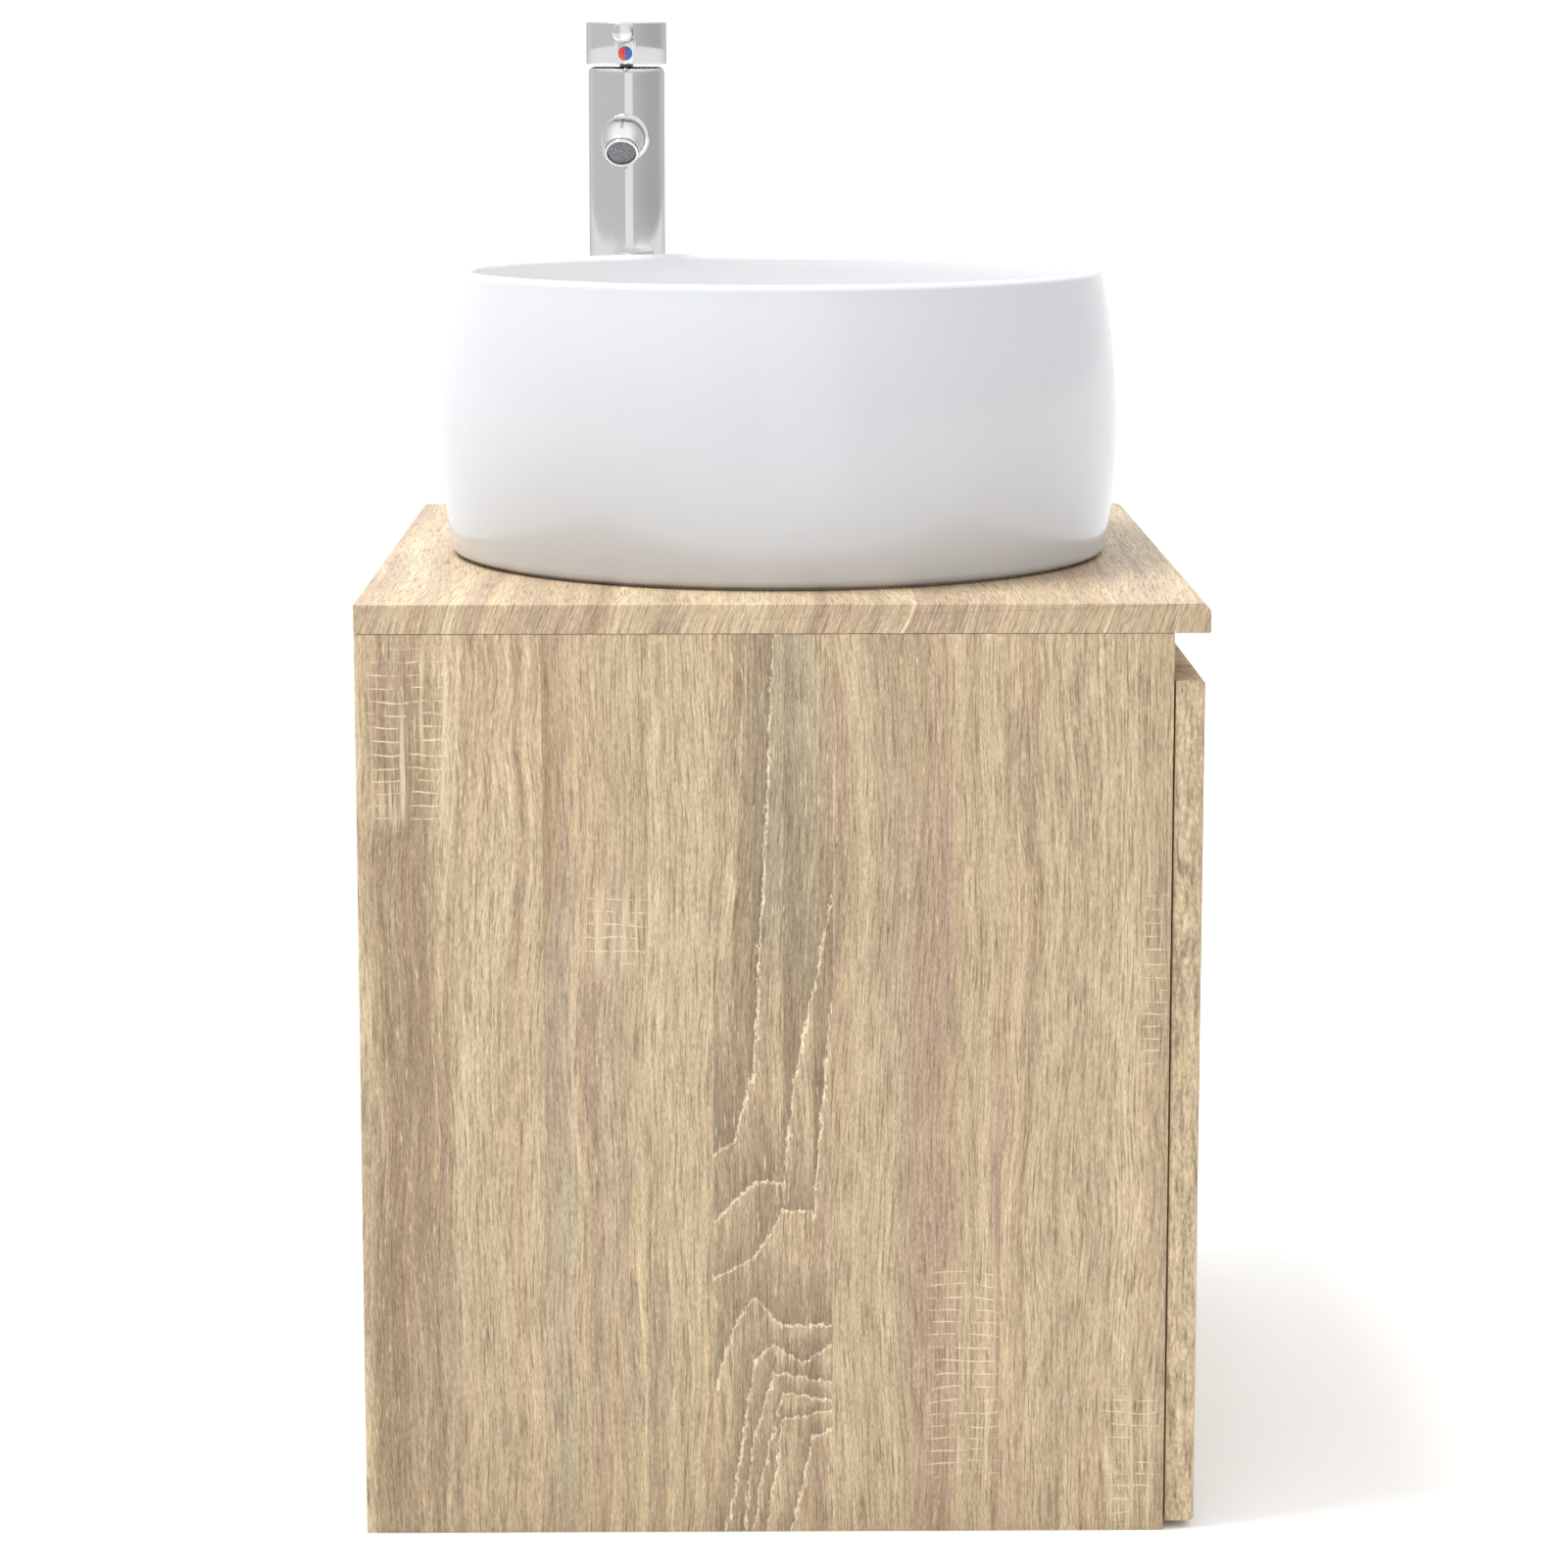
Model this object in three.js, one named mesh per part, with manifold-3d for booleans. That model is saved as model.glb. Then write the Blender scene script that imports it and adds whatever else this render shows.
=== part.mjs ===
// A small wall-hung washstand: a barrel-shaped vessel basin and a tall pillar mixer
// on an oak-faced cabinet with one deep drawer, its waste and its bottle trap.
// Millimetres. X runs to the right seen from the front, Y to the wall, Z up.
// The origin is the middle of the footprint, at the cabinet's underside.
import * as THREE from "three";
import { mergeVertices } from "three/addons/utils/BufferGeometryUtils.js";
import Module from "manifold-3d";

const wasm = await Module();
wasm.setup();

// Driving dimensions.
const overall = {
  width: 450,
  depth: 426,
  counterHeight: 480,
};

const board = {
  thick: 15,
  frontOverhang: 2,
  frontEdgeRound: 5.5,
  railHeight: 80,
  stretcherDepth: 80,
};

const front = {
  thick: 15,
  edgeRound: 2.5,
  sideMargin: 2,
  bottomMargin: 4,
  fingerGap: 24,
  bumperThick: 1,
  bumperRadius: 4,
  bumperDrop: 12,
};

const drawer = {
  sideThick: 12,
  bottomThick: 4,
  grooveDepth: 5,
  grooveHeight: 10,
  low: 55,
  height: 160,
  length: 350,
};

const runner = {
  space: 13,
  height: 45,
  sheet: 1.25,
  webGap: 1,
  ballGap: 2.75,
  lipGap: 2.5,
  setback: 5,
  aboveDrawerLow: 60,
};

const frontScrew = {
  headRadius: 4.5,
  headHeight: 2.5,
  shankRadius: 2,
  bite: 10,
  inset: 45,
  edge: 30,
};

const hanger = {
  sheet: 2.5,
  height: 50,
  sideLeg: 50,
  wallLeg: 40,
  drop: 15,
  boltRadius: 4.5,
  boltClearance: 0.5,
};

const basin = {
  height: 154,
  bellyRadius: 185.5,
  bellyHeight: 69,
  wallCurve: 380,
  rimWall: 8,
  bellyWall: 9.5,
  footRound: 5,
  footRingWidth: 11,
  bowlFillet: 50,
  floorHeight: 17,
  floorSlope: 0.07,
  floorThick: 11,
  hubRadius: 45,
  sealThick: 1,
  sealInset: 2,
  sealWidth: 7,
};

const waste = {
  bodyRadius: 20.5,
  boreRadius: 17,
  ledgeRadius: 15,
  holeClearance: 2,
  flangeRadius: 32,
  flangeThick: 3,
  washerThick: 1.5,
  recessClearance: 1,
  tailDrop: 65,
  gasketThick: 3,
  nutHeight: 12,
  nutRadius: 34,
  threadClearance: 0.5,
  plugRadius: 31,
  plugEdge: 2,
  plugDome: 6,
  stemRadius: 4,
  stemLength: 52,
  barrelRadius: 8,
  barrelHeight: 42,
  ledgeDepth: 40,
  ribCount: 3,
  ribWidth: 3,
  ribHeight: 8,
};

const trap = {
  pipeRadius: 16,
  pipeWall: 1.5,
  dipLength: 90,
  dipFlangeThick: 3,
  dipFlangeRadius: 20,
  nutRadius: 26,
  nutGrip: 12,
  nutLip: 5,
  bodyRadius: 35,
  bodyWall: 2.5,
  bodyHeight: 80,
  neckHeight: 7,
  neckWall: 3.5,
  cupHeight: 40,
  cupGrip: 12,
  cupWall: 4,
  roseGap: 2,
  bossLength: 16,
  wallRoseRadius: 35,
  wallRoseDepth: 8,
};

const tap = {
  bearing: 0.4306,
  basinGap: 3,
  radius: 22.5,
  bodyHeight: 263,
  shoulderRound: 4,
  gasketThick: 1,
  gasketWidth: 5,
  footRecess: 20,
  footWall: 4,
  fixingHole: 16.5,
  spoutHeight: 222.5,
  seatHeight: 211,
  seatRadius: 18,
  inletRadius: 4.5,
  inletOffset: 8,
  studOffset: 10,
  studRadius: 3,
  studBite: 14,
  studDrop: 48,
  washerRadius: 24,
  washerThick: 3,
  washerSlot: 11,
  washerMargin: 0.5,
  studNutRadius: 5.5,
  studNutHeight: 6,
};

const spout = {
  radius: 12,
  endRadius: 10.5,
  boreRadius: 8,
  shankRadius: 9,
  reach: 108,
  bendRadius: 20,
  bend: THREE.MathUtils.degToRad(38),
  bendSteps: 6,
  endLength: 3.5,
  collarRadius: 14,
  collarThick: 3,
  aeratorRadius: 9.5,
  aeratorBore: 8.25,
  aeratorDepth: 3,
  aeratorProud: 1.5,
  insertThick: 2.5,
};

const cartridge = {
  height: 44,
  cavityRadius: 12,
  cavityDepth: 13.5,
  outletRadius: 7,
  nutHeight: 7,
  carrierThick: 6.5,
  earWidth: 8,
  earThick: 3.5,
  earHeight: 9,
  pivotAboveCarrier: 4.25,
  pinRadius: 1.5,
  pinClearance: 0.05,
  stemRadius: 4,
};

const handle = {
  seam: 1.5,
  capRadius: 23.75,
  capHeight: 24.5,
  skirtWall: 2.25,
  topThick: 4,
  edgeRound: 1.25,
  bossRadius: 8,
  bossRise: 3,
  stemBite: 12,
  leverRadius: 5.75,
  leverLength: 62,
  leverDrop: 6.5,
  leverSeat: 2.75,
  leverChamfer: 1,
  threadRadius: 3,
  threadLength: 9,
  ribHalfWidth: 7.5,
  dotRadius: 4,
  dotRise: 6.25,
  dotProud: 0.25,
  setScrewRadius: 1.5,
};

const loose = 0.3;
const roundSegments = 20;
const fineSegments = 28;
const basinSegments = 40;
const smallSegments = 12;
const hexSegments = 6;

const counterTop = overall.counterHeight;
const counterLow = counterTop - board.thick;
const halfWidth = overall.width / 2;
const innerHalf = halfWidth - board.thick;
const wallY = overall.depth / 2;
const frontFaceY = -wallY + board.frontOverhang;
const frontBackY = frontFaceY + front.thick;
const carcassY = frontBackY + front.bumperThick;
const railY = wallY - board.thick;

const palette = {
  oak: { color: 0xc8b28e, roughness: 0.6, metalness: 0 },
  ceramic: { color: 0xeeeff1, roughness: 0.12, metalness: 0 },
  chrome: { color: 0xd4d7db, roughness: 0.08, metalness: 1 },
  steel: { color: 0xb4b8bc, roughness: 0.35, metalness: 0.9 },
  brass: { color: 0xb99a58, roughness: 0.35, metalness: 0.9 },
  rubber: { color: 0x2b2b2c, roughness: 0.85, metalness: 0 },
  whitePlastic: { color: 0xe9e9e6, roughness: 0.35, metalness: 0 },
  greyPlastic: { color: 0x8d9094, roughness: 0.5, metalness: 0 },
  red: { color: 0xb52a2a, roughness: 0.3, metalness: 0 },
};

// Geometry helpers.

function solidOf(geometry) {
  const bare = geometry.clone();
  bare.deleteAttribute("normal");
  bare.deleteAttribute("uv");
  const merged = mergeVertices(bare);
  const corners = merged.index.array;
  const triVerts = [];
  for (let i = 0; i < corners.length; i += 3) {
    const [a, b, c] = corners.slice(i, i + 3);
    if (a !== b && b !== c && c !== a) triVerts.push(a, b, c);
  }
  const vertProperties = new Float32Array(merged.attributes.position.array);
  return new wasm.Manifold(
    new wasm.Mesh({ numProp: 3, vertProperties, triVerts: new Uint32Array(triVerts) }),
  );
}

function geometryOf(solid) {
  const mesh = solid.getMesh();
  const geometry = new THREE.BufferGeometry();
  geometry.setAttribute("position", new THREE.BufferAttribute(mesh.vertProperties, mesh.numProp));
  geometry.setIndex(new THREE.BufferAttribute(mesh.triVerts, 1));
  geometry.computeVertexNormals();
  return geometry;
}

function cut(base, ...tools) {
  let solid = solidOf(base);
  for (const tool of tools) solid = solid.subtract(solidOf(tool));
  return geometryOf(solid);
}

function join(base, ...others) {
  let solid = solidOf(base);
  for (const other of others) solid = solid.add(solidOf(other));
  return geometryOf(solid);
}

function clip(base, limit) {
  return geometryOf(solidOf(base).intersect(solidOf(limit)));
}

// A box between two opposite corners, given in any order.
function block(from, to) {
  const box = new THREE.BoxGeometry(2, 2, 2);
  const position = box.attributes.position;
  for (let i = 0; i < position.count; i += 1) {
    for (let axis = 0; axis < 3; axis += 1) {
      const low = Math.min(from[axis], to[axis]);
      const high = Math.max(from[axis], to[axis]);
      position.setComponent(i, axis, position.getComponent(i, axis) < 0 ? low : high);
    }
  }
  return box;
}

// A [radius, height] outline turned about Z. It runs anticlockwise, and either starts and
// ends on the axis or is closed back to its first point.
function turned(outline, segments = roundSegments) {
  const points = outline.map(([radius, height]) => new THREE.Vector2(radius, height));
  if (outline[0][0] > 0) points.push(points[0].clone());
  return new THREE.LatheGeometry(points, segments).rotateX(Math.PI / 2);
}

function disc(radius, low, high, segments = roundSegments) {
  return turned([[0, low], [radius, low], [radius, high], [0, high]], segments);
}

function ring(inner, outer, low, high, segments = roundSegments) {
  return turned([[inner, low], [outer, low], [outer, high], [inner, high]], segments);
}

// Points on an arc in an outline, from one angle to another, both in radians.
function arc(centreRadius, centreHeight, radius, start, end, steps) {
  return Array.from({ length: steps + 1 }, (unused, i) => {
    const angle = start + ((end - start) * i) / steps;
    return [centreRadius + radius * Math.cos(angle), centreHeight + radius * Math.sin(angle)];
  });
}

// Turns a piece made along +Z to point along another axis.
const toLeft = (geometry) => geometry.rotateY(-Math.PI / 2);
const toWall = (geometry) => geometry.rotateX(-Math.PI / 2);

function addPart(group, name, geometry, finish) {
  const mesh = new THREE.Mesh(geometry, new THREE.MeshStandardMaterial(finish));
  mesh.name = name;
  group.add(mesh);
}

function nameOfSide(side) {
  return side < 0 ? "left" : "right";
}

// The tap stands beside the basin at a fixed bearing, clear of the basin's belly.
const tapDistance = basin.bellyRadius + tap.radius + tap.basinGap;
const tapX = tapDistance * Math.cos(tap.bearing);
const tapY = tapDistance * Math.sin(tap.bearing);
const wasteHole = waste.bodyRadius + waste.holeClearance;

// The cabinet.

function countertop() {
  const profile = new THREE.Shape();
  const round = board.frontEdgeRound;
  profile.moveTo(-wallY, counterLow);
  profile.lineTo(wallY, counterLow);
  profile.lineTo(wallY, counterTop);
  profile.lineTo(-wallY + round, counterTop);
  profile.absarc(-wallY + round, counterTop - round, round, Math.PI / 2, Math.PI, false);
  const slab = new THREE.ExtrudeGeometry(profile, {
    depth: overall.width,
    bevelEnabled: false,
    curveSegments: 3,
  });
  slab.applyMatrix4(
    new THREE.Matrix4().makeBasis(
      new THREE.Vector3(0, 1, 0),
      new THREE.Vector3(0, 0, 1),
      new THREE.Vector3(1, 0, 0),
    ),
  );
  slab.translate(-halfWidth, 0, 0);
  const past = board.thick;
  return cut(
    slab,
    disc(wasteHole, counterLow - past, counterTop + past, fineSegments),
    disc(tap.fixingHole, counterLow - past, counterTop + past).translate(tapX, tapY, 0),
  );
}

const boltX = innerHalf - hanger.sheet - hanger.wallLeg / 2;
const boltZ = counterLow - hanger.drop - hanger.height / 2;

function boltHole(radius) {
  return toWall(disc(radius, railY - board.thick, wallY + board.thick, smallSegments));
}

function upperRail() {
  const radius = hanger.boltRadius + hanger.boltClearance;
  return cut(
    block([-innerHalf, railY, counterLow - board.railHeight], [innerHalf, wallY, counterLow]),
    boltHole(radius).translate(-boltX, 0, boltZ),
    boltHole(radius).translate(boltX, 0, boltZ),
  );
}

function hangerBracket(side) {
  const high = counterLow - hanger.drop;
  const low = high - hanger.height;
  const wallLegEnd = innerHalf - hanger.sheet - hanger.wallLeg;
  const angle = join(
    block([side * innerHalf, railY - hanger.sideLeg, low],
      [side * (innerHalf - hanger.sheet), railY, high]),
    block([side * innerHalf, railY - hanger.sheet, low], [side * wallLegEnd, railY, high]),
  );
  return cut(angle, boltHole(hanger.boltRadius).translate(side * boltX, 0, boltZ));
}

function cabinet() {
  const group = new THREE.Group();
  addPart(group, "countertop", countertop(), palette.oak);
  for (const side of [-1, 1]) {
    addPart(group, `side_panel_${nameOfSide(side)}`,
      block([side * innerHalf, carcassY, 0], [side * halfWidth, wallY, counterLow]),
      palette.oak);
    addPart(group, `hanger_bracket_${nameOfSide(side)}`, hangerBracket(side), palette.steel);
    addPart(group, `front_bumper_${nameOfSide(side)}`,
      toWall(disc(front.bumperRadius, frontBackY, carcassY, smallSegments))
        .translate(side * (halfWidth - board.thick / 2), 0,
          counterLow - front.fingerGap - front.bumperDrop),
      palette.rubber);
  }
  addPart(group, "bottom_panel",
    block([-innerHalf, carcassY, 0], [innerHalf, wallY, board.thick]), palette.oak);
  addPart(group, "back_rail_lower",
    block([-innerHalf, railY, board.thick],
      [innerHalf, wallY, board.thick + board.railHeight]), palette.oak);
  addPart(group, "back_rail_upper", upperRail(), palette.oak);
  addPart(group, "front_stretcher",
    block([-innerHalf, carcassY, counterLow - board.thick],
      [innerHalf, carcassY + board.stretcherDepth, counterLow]), palette.oak);
  return group;
}

// The drawer, and the telescopic runners beside it.

const drawerHalf = innerHalf - runner.space;
const drawerInner = drawerHalf - drawer.sideThick;
const drawerHigh = drawer.low + drawer.height;
const drawerEndY = frontBackY + drawer.length;
const boxInnerY = frontBackY + drawer.sideThick;
const backInnerY = drawerEndY - drawer.sideThick;
const bottomLow = drawer.low + drawer.grooveHeight;
const bottomHigh = bottomLow + drawer.bottomThick;

function drawerFront() {
  const half = halfWidth - front.sideMargin;
  const round = front.edgeRound;
  const outline = new THREE.Shape();
  outline.moveTo(half, frontBackY);
  outline.lineTo(-half, frontBackY);
  outline.lineTo(-half, frontFaceY + round);
  outline.absarc(-half + round, frontFaceY + round, round, Math.PI, 1.5 * Math.PI, false);
  outline.absarc(half - round, frontFaceY + round, round, 1.5 * Math.PI, 2 * Math.PI, false);
  const low = front.bottomMargin;
  const high = counterLow - front.fingerGap;
  const panel = new THREE.ExtrudeGeometry(outline, {
    depth: high - low,
    bevelEnabled: false,
    curveSegments: 2,
  });
  return cut(panel.translate(0, 0, low), ...screwPlaces().map(screwPilot));
}

function screwPlaces() {
  const places = [];
  for (const side of [-1, 1]) {
    for (const level of [drawer.low + frontScrew.edge, drawerHigh - frontScrew.edge]) {
      places.push([side * (drawerInner - frontScrew.inset), level]);
    }
  }
  return places;
}

function screwPilot([x, z]) {
  const radius = frontScrew.shankRadius + loose;
  const end = frontBackY - frontScrew.bite - loose;
  return toWall(disc(radius, end, boxInnerY + drawer.sideThick, smallSegments)).translate(x, 0, z);
}

function screw([x, z]) {
  const head = boxInnerY + frontScrew.headHeight;
  return toWall(turned([
    [0, frontBackY - frontScrew.bite],
    [frontScrew.shankRadius, frontBackY - frontScrew.bite],
    [frontScrew.shankRadius, boxInnerY],
    [frontScrew.headRadius, boxInnerY],
    [frontScrew.headRadius, head],
    [0, head],
  ], smallSegments)).translate(x, 0, z);
}

// The space that the drawer's bottom takes in the boards around it.
function bottomGroove() {
  const reach = drawerInner + drawer.grooveDepth;
  return block([-reach, boxInnerY - drawer.grooveDepth, bottomLow],
    [reach, backInnerY + drawer.grooveDepth, bottomHigh]);
}

// A C-shaped rail along Y, with its web at one X and its lips ending at another.
function channel(webX, lipX, halfHeight, startY, side) {
  const inward = Math.sign(lipX - webX);
  const past = runner.height;
  return cut(
    block([side * webX, startY, -halfHeight],
      [side * lipX, startY + drawer.length, halfHeight]),
    block([side * (webX + inward * runner.sheet), startY - past, -halfHeight + runner.sheet],
      [side * (lipX + inward * past), startY + drawer.length + past, halfHeight - runner.sheet]),
  ).translate(0, 0, drawer.low + runner.aboveDrawerLow);
}

function runnerPair(group, side) {
  const startY = carcassY + runner.setback;
  const name = nameOfSide(side);
  const outerHalf = runner.height / 2;
  const middleHalf = outerHalf - runner.sheet - runner.ballGap;
  const innerRailHalf = middleHalf - runner.sheet - runner.ballGap;
  const middleWeb = innerHalf - runner.sheet - runner.webGap;
  const drawerWeb = drawerHalf;
  addPart(group, `runner_cabinet_${name}`,
    channel(innerHalf, drawerHalf + runner.lipGap, outerHalf, startY, side), palette.steel);
  addPart(group, `runner_middle_${name}`,
    channel(middleWeb, drawerHalf + runner.sheet + runner.lipGap, middleHalf, startY, side),
    palette.steel);
  addPart(group, `runner_drawer_${name}`,
    channel(drawerWeb, middleWeb - runner.sheet - runner.webGap, innerRailHalf, startY, side),
    palette.steel);
}

function drawerUnit() {
  const group = new THREE.Group();
  addPart(group, "drawer_front", drawerFront(), palette.oak);
  for (const side of [-1, 1]) {
    const sideBoard = block([side * drawerInner, frontBackY, drawer.low],
      [side * drawerHalf, drawerEndY, drawerHigh]);
    addPart(group, `drawer_side_${nameOfSide(side)}`, cut(sideBoard, bottomGroove()), palette.oak);
    runnerPair(group, side);
  }
  const boxFront = block([-drawerInner, frontBackY, drawer.low],
    [drawerInner, boxInnerY, drawerHigh]);
  addPart(group, "drawer_box_front",
    cut(boxFront, bottomGroove(), ...screwPlaces().map(screwPilot)), palette.oak);
  const back = block([-drawerInner, backInnerY, drawer.low],
    [drawerInner, drawerEndY, drawerHigh]);
  addPart(group, "drawer_back", cut(back, bottomGroove()), palette.oak);
  addPart(group, "drawer_bottom", bottomGroove(), palette.whitePlastic);
  screwPlaces().forEach((place, i) => {
    addPart(group, `front_screw_${i + 1}`, screw(place), palette.steel);
  });
  return group;
}

// The basin. Its outer wall is one shallow arc, widest at the belly.

function outerRadius(height) {
  const rise = height - basin.bellyHeight;
  return basin.bellyRadius - basin.wallCurve
    + Math.sqrt(basin.wallCurve * basin.wallCurve - rise * rise);
}

function wallPoints(start, end, wall, steps) {
  return Array.from({ length: steps + 1 }, (unused, i) => {
    const height = start + ((end - start) * i) / steps;
    return [outerRadius(height) - wall, height];
  });
}

const flangeSeat = basin.floorHeight - waste.flangeThick - waste.washerThick;

function basinShell() {
  const quarter = Math.PI / 2;
  const lip = basin.rimWall / 2;
  const rimHeight = basin.height - lip;
  const rimCentre = outerRadius(rimHeight) - lip;
  const footRadius = outerRadius(basin.footRound) - basin.footRound;
  const recessRadius = waste.flangeRadius + waste.recessClearance;
  const filletWall = outerRadius(basin.bellyHeight) - basin.bellyWall;
  const filletCentre = filletWall - basin.bowlFillet;
  const floorAt = (radius) => basin.floorHeight + (radius - recessRadius) * basin.floorSlope;
  const filletHeight = floorAt(filletCentre) + basin.bowlFillet;
  const hollowRadius = basin.bowlFillet + basin.floorThick;
  const footInner = footRadius - basin.footRingWidth;
  const hollowEdge = Math.acos((footInner - filletCentre) / hollowRadius);
  const bowlWall = wallPoints(rimHeight, filletHeight, basin.rimWall, 4).slice(1, -1);
  return turned([
    [wasteHole, 0],
    [basin.hubRadius, 0],
    [basin.hubRadius, floorAt(basin.hubRadius) - basin.floorThick],
    ...arc(filletCentre, filletHeight, hollowRadius, -quarter, -hollowEdge, 3),
    [footInner, 0],
    ...arc(footRadius, basin.footRound, basin.footRound, -quarter, 0, 3),
    ...wallPoints(basin.footRound, rimHeight, 0, 8).slice(1, -1),
    ...arc(rimCentre, rimHeight, lip, 0, 2 * quarter, 6),
    ...bowlWall,
    ...arc(filletCentre, filletHeight, basin.bowlFillet, 0, -quarter, 6),
    [recessRadius, basin.floorHeight],
    [recessRadius, flangeSeat],
    [wasteHole, flangeSeat],
  ], basinSegments);
}

function basinUnit() {
  const group = new THREE.Group();
  group.position.z = counterTop + basin.sealThick;
  const footRadius = outerRadius(basin.footRound) - basin.footRound;
  const sealOuter = footRadius - basin.sealInset;
  addPart(group, "basin", basinShell(), palette.ceramic);
  addPart(group, "basin_seal",
    ring(sealOuter - basin.sealWidth, sealOuter, -basin.sealThick, 0, basinSegments),
    palette.whitePlastic);
  return group;
}

// The push-to-open waste. Its group's origin is on the flange's seat in the basin.

const wasteSeatZ = counterTop + basin.sealThick + flangeSeat;
const flangeLow = waste.washerThick;
const flangeHigh = flangeLow + waste.flangeThick;
const tailLow = counterLow - waste.tailDrop - wasteSeatZ;
const ledgeHeight = counterLow - waste.ledgeDepth - wasteSeatZ;

function wasteBody() {
  return turned([
    [waste.ledgeRadius, tailLow],
    [waste.bodyRadius, tailLow],
    [waste.bodyRadius, flangeLow],
    [waste.flangeRadius, flangeLow],
    [waste.flangeRadius, flangeHigh],
    [waste.boreRadius, flangeHigh],
    [waste.boreRadius, ledgeHeight],
    [waste.ledgeRadius, ledgeHeight],
  ]);
}

function wastePlug() {
  const crown = flangeHigh + waste.plugDome;
  return turned([
    [0, flangeHigh - waste.stemLength],
    [waste.stemRadius, flangeHigh - waste.stemLength],
    [waste.stemRadius, flangeHigh],
    [waste.plugRadius, flangeHigh],
    [waste.plugRadius, flangeHigh + waste.plugEdge],
    [waste.plugRadius * 0.6, crown - waste.plugEdge / 2],
    [0, crown],
  ]);
}

// A barrel on ribs that stand on the ledge in the waste's bore.
function clickBarrel() {
  const ribReach = waste.boreRadius - loose;
  const ribs = Array.from({ length: waste.ribCount }, (unused, i) => {
    const rib = block([0, -waste.ribWidth / 2, ledgeHeight],
      [ribReach * Math.cos(Math.PI / roundSegments), waste.ribWidth / 2,
        ledgeHeight + waste.ribHeight]);
    return rib.rotateZ((2 * Math.PI * i) / waste.ribCount);
  });
  const barrel = join(
    disc(waste.barrelRadius, ledgeHeight, ledgeHeight + waste.barrelHeight), ...ribs);
  return cut(barrel, disc(waste.stemRadius + loose, ledgeHeight + waste.ribWidth,
    ledgeHeight + waste.barrelHeight + waste.ribWidth));
}

function wasteUnit() {
  const group = new THREE.Group();
  group.position.z = wasteSeatZ;
  const under = counterLow - wasteSeatZ;
  const nutHigh = under - waste.gasketThick;
  const threadRadius = waste.bodyRadius + waste.threadClearance;
  addPart(group, "waste_body", wasteBody(), palette.chrome);
  addPart(group, "waste_plug", wastePlug(), palette.chrome);
  addPart(group, "waste_click_barrel", clickBarrel(), palette.whitePlastic);
  addPart(group, "waste_seal_washer",
    ring(wasteHole, waste.flangeRadius, 0, waste.washerThick), palette.rubber);
  addPart(group, "waste_lower_gasket",
    ring(threadRadius, waste.flangeRadius, nutHigh, under), palette.rubber);
  addPart(group, "waste_backnut",
    cut(disc(waste.nutRadius, nutHigh - waste.nutHeight, nutHigh, hexSegments),
      disc(threadRadius, nutHigh - 2 * waste.nutHeight, under)),
    palette.brass);
  return group;
}

// The bottle trap. Its group's origin is at the waste's lower end.

const tailZ = wasteSeatZ + tailLow;
const pipeBore = trap.pipeRadius - trap.pipeWall;
const pipeHole = trap.pipeRadius + loose;
const nutLow = -trap.dipFlangeThick - trap.nutLip;
const neckHigh = nutLow;
const bodyHigh = neckHigh - trap.neckHeight;
const bodyLow = bodyHigh - trap.bodyHeight;
const railLow = counterLow - board.railHeight;
const outletZ = railLow - trap.roseGap - trap.wallRoseRadius - tailZ;
const bossEndY = trap.bodyRadius + trap.bossLength;

function trapBody() {
  const neckRadius = pipeHole + trap.neckWall;
  const inner = trap.bodyRadius - trap.bodyWall;
  const shell = turned([
    [inner, bodyLow],
    [trap.bodyRadius, bodyLow],
    [trap.bodyRadius, bodyHigh - trap.bodyWall],
    [trap.bodyRadius - trap.bodyWall, bodyHigh],
    [neckRadius, bodyHigh],
    [neckRadius, neckHigh],
    [pipeHole, neckHigh],
    [pipeHole, bodyHigh - trap.bodyWall],
    [inner, bodyHigh - trap.bodyWall],
  ]);
  const boss = toWall(disc(neckRadius, inner, bossEndY)).translate(0, 0, outletZ);
  const outlet = toWall(disc(pipeHole, trap.pipeRadius + trap.bodyWall, bossEndY + trap.bossLength))
    .translate(0, 0, outletZ);
  return cut(join(shell, boss), outlet);
}

function dipPipe() {
  const end = -trap.dipLength;
  return turned([
    [pipeBore, end],
    [trap.pipeRadius, end],
    [trap.pipeRadius, -trap.dipFlangeThick],
    [trap.dipFlangeRadius, -trap.dipFlangeThick],
    [trap.dipFlangeRadius, 0],
    [pipeBore, 0],
  ]);
}

// A union nut: a wide grip above a lip that holds a smaller pipe's flange.
function unionNut(gripRadius, low, lipTop, high) {
  return turned([
    [pipeHole, low],
    [trap.nutRadius, low],
    [trap.nutRadius, high],
    [gripRadius, high],
    [gripRadius, lipTop],
    [pipeHole, lipTop],
  ]);
}

function trapCup() {
  const grip = trap.bodyRadius + loose;
  const outer = grip + trap.cupWall;
  const inner = trap.bodyRadius - trap.bodyWall;
  const floor = bodyLow - trap.cupHeight;
  return turned([
    [0, floor],
    [inner, floor],
    [outer, floor + trap.cupWall],
    [outer, bodyLow + trap.cupGrip],
    [grip, bodyLow + trap.cupGrip],
    [grip, bodyLow],
    [inner, bodyLow],
    [inner, floor + 2 * trap.cupWall],
    [inner - trap.cupWall, floor + trap.cupWall],
    [0, floor + trap.cupWall],
  ]);
}

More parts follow.
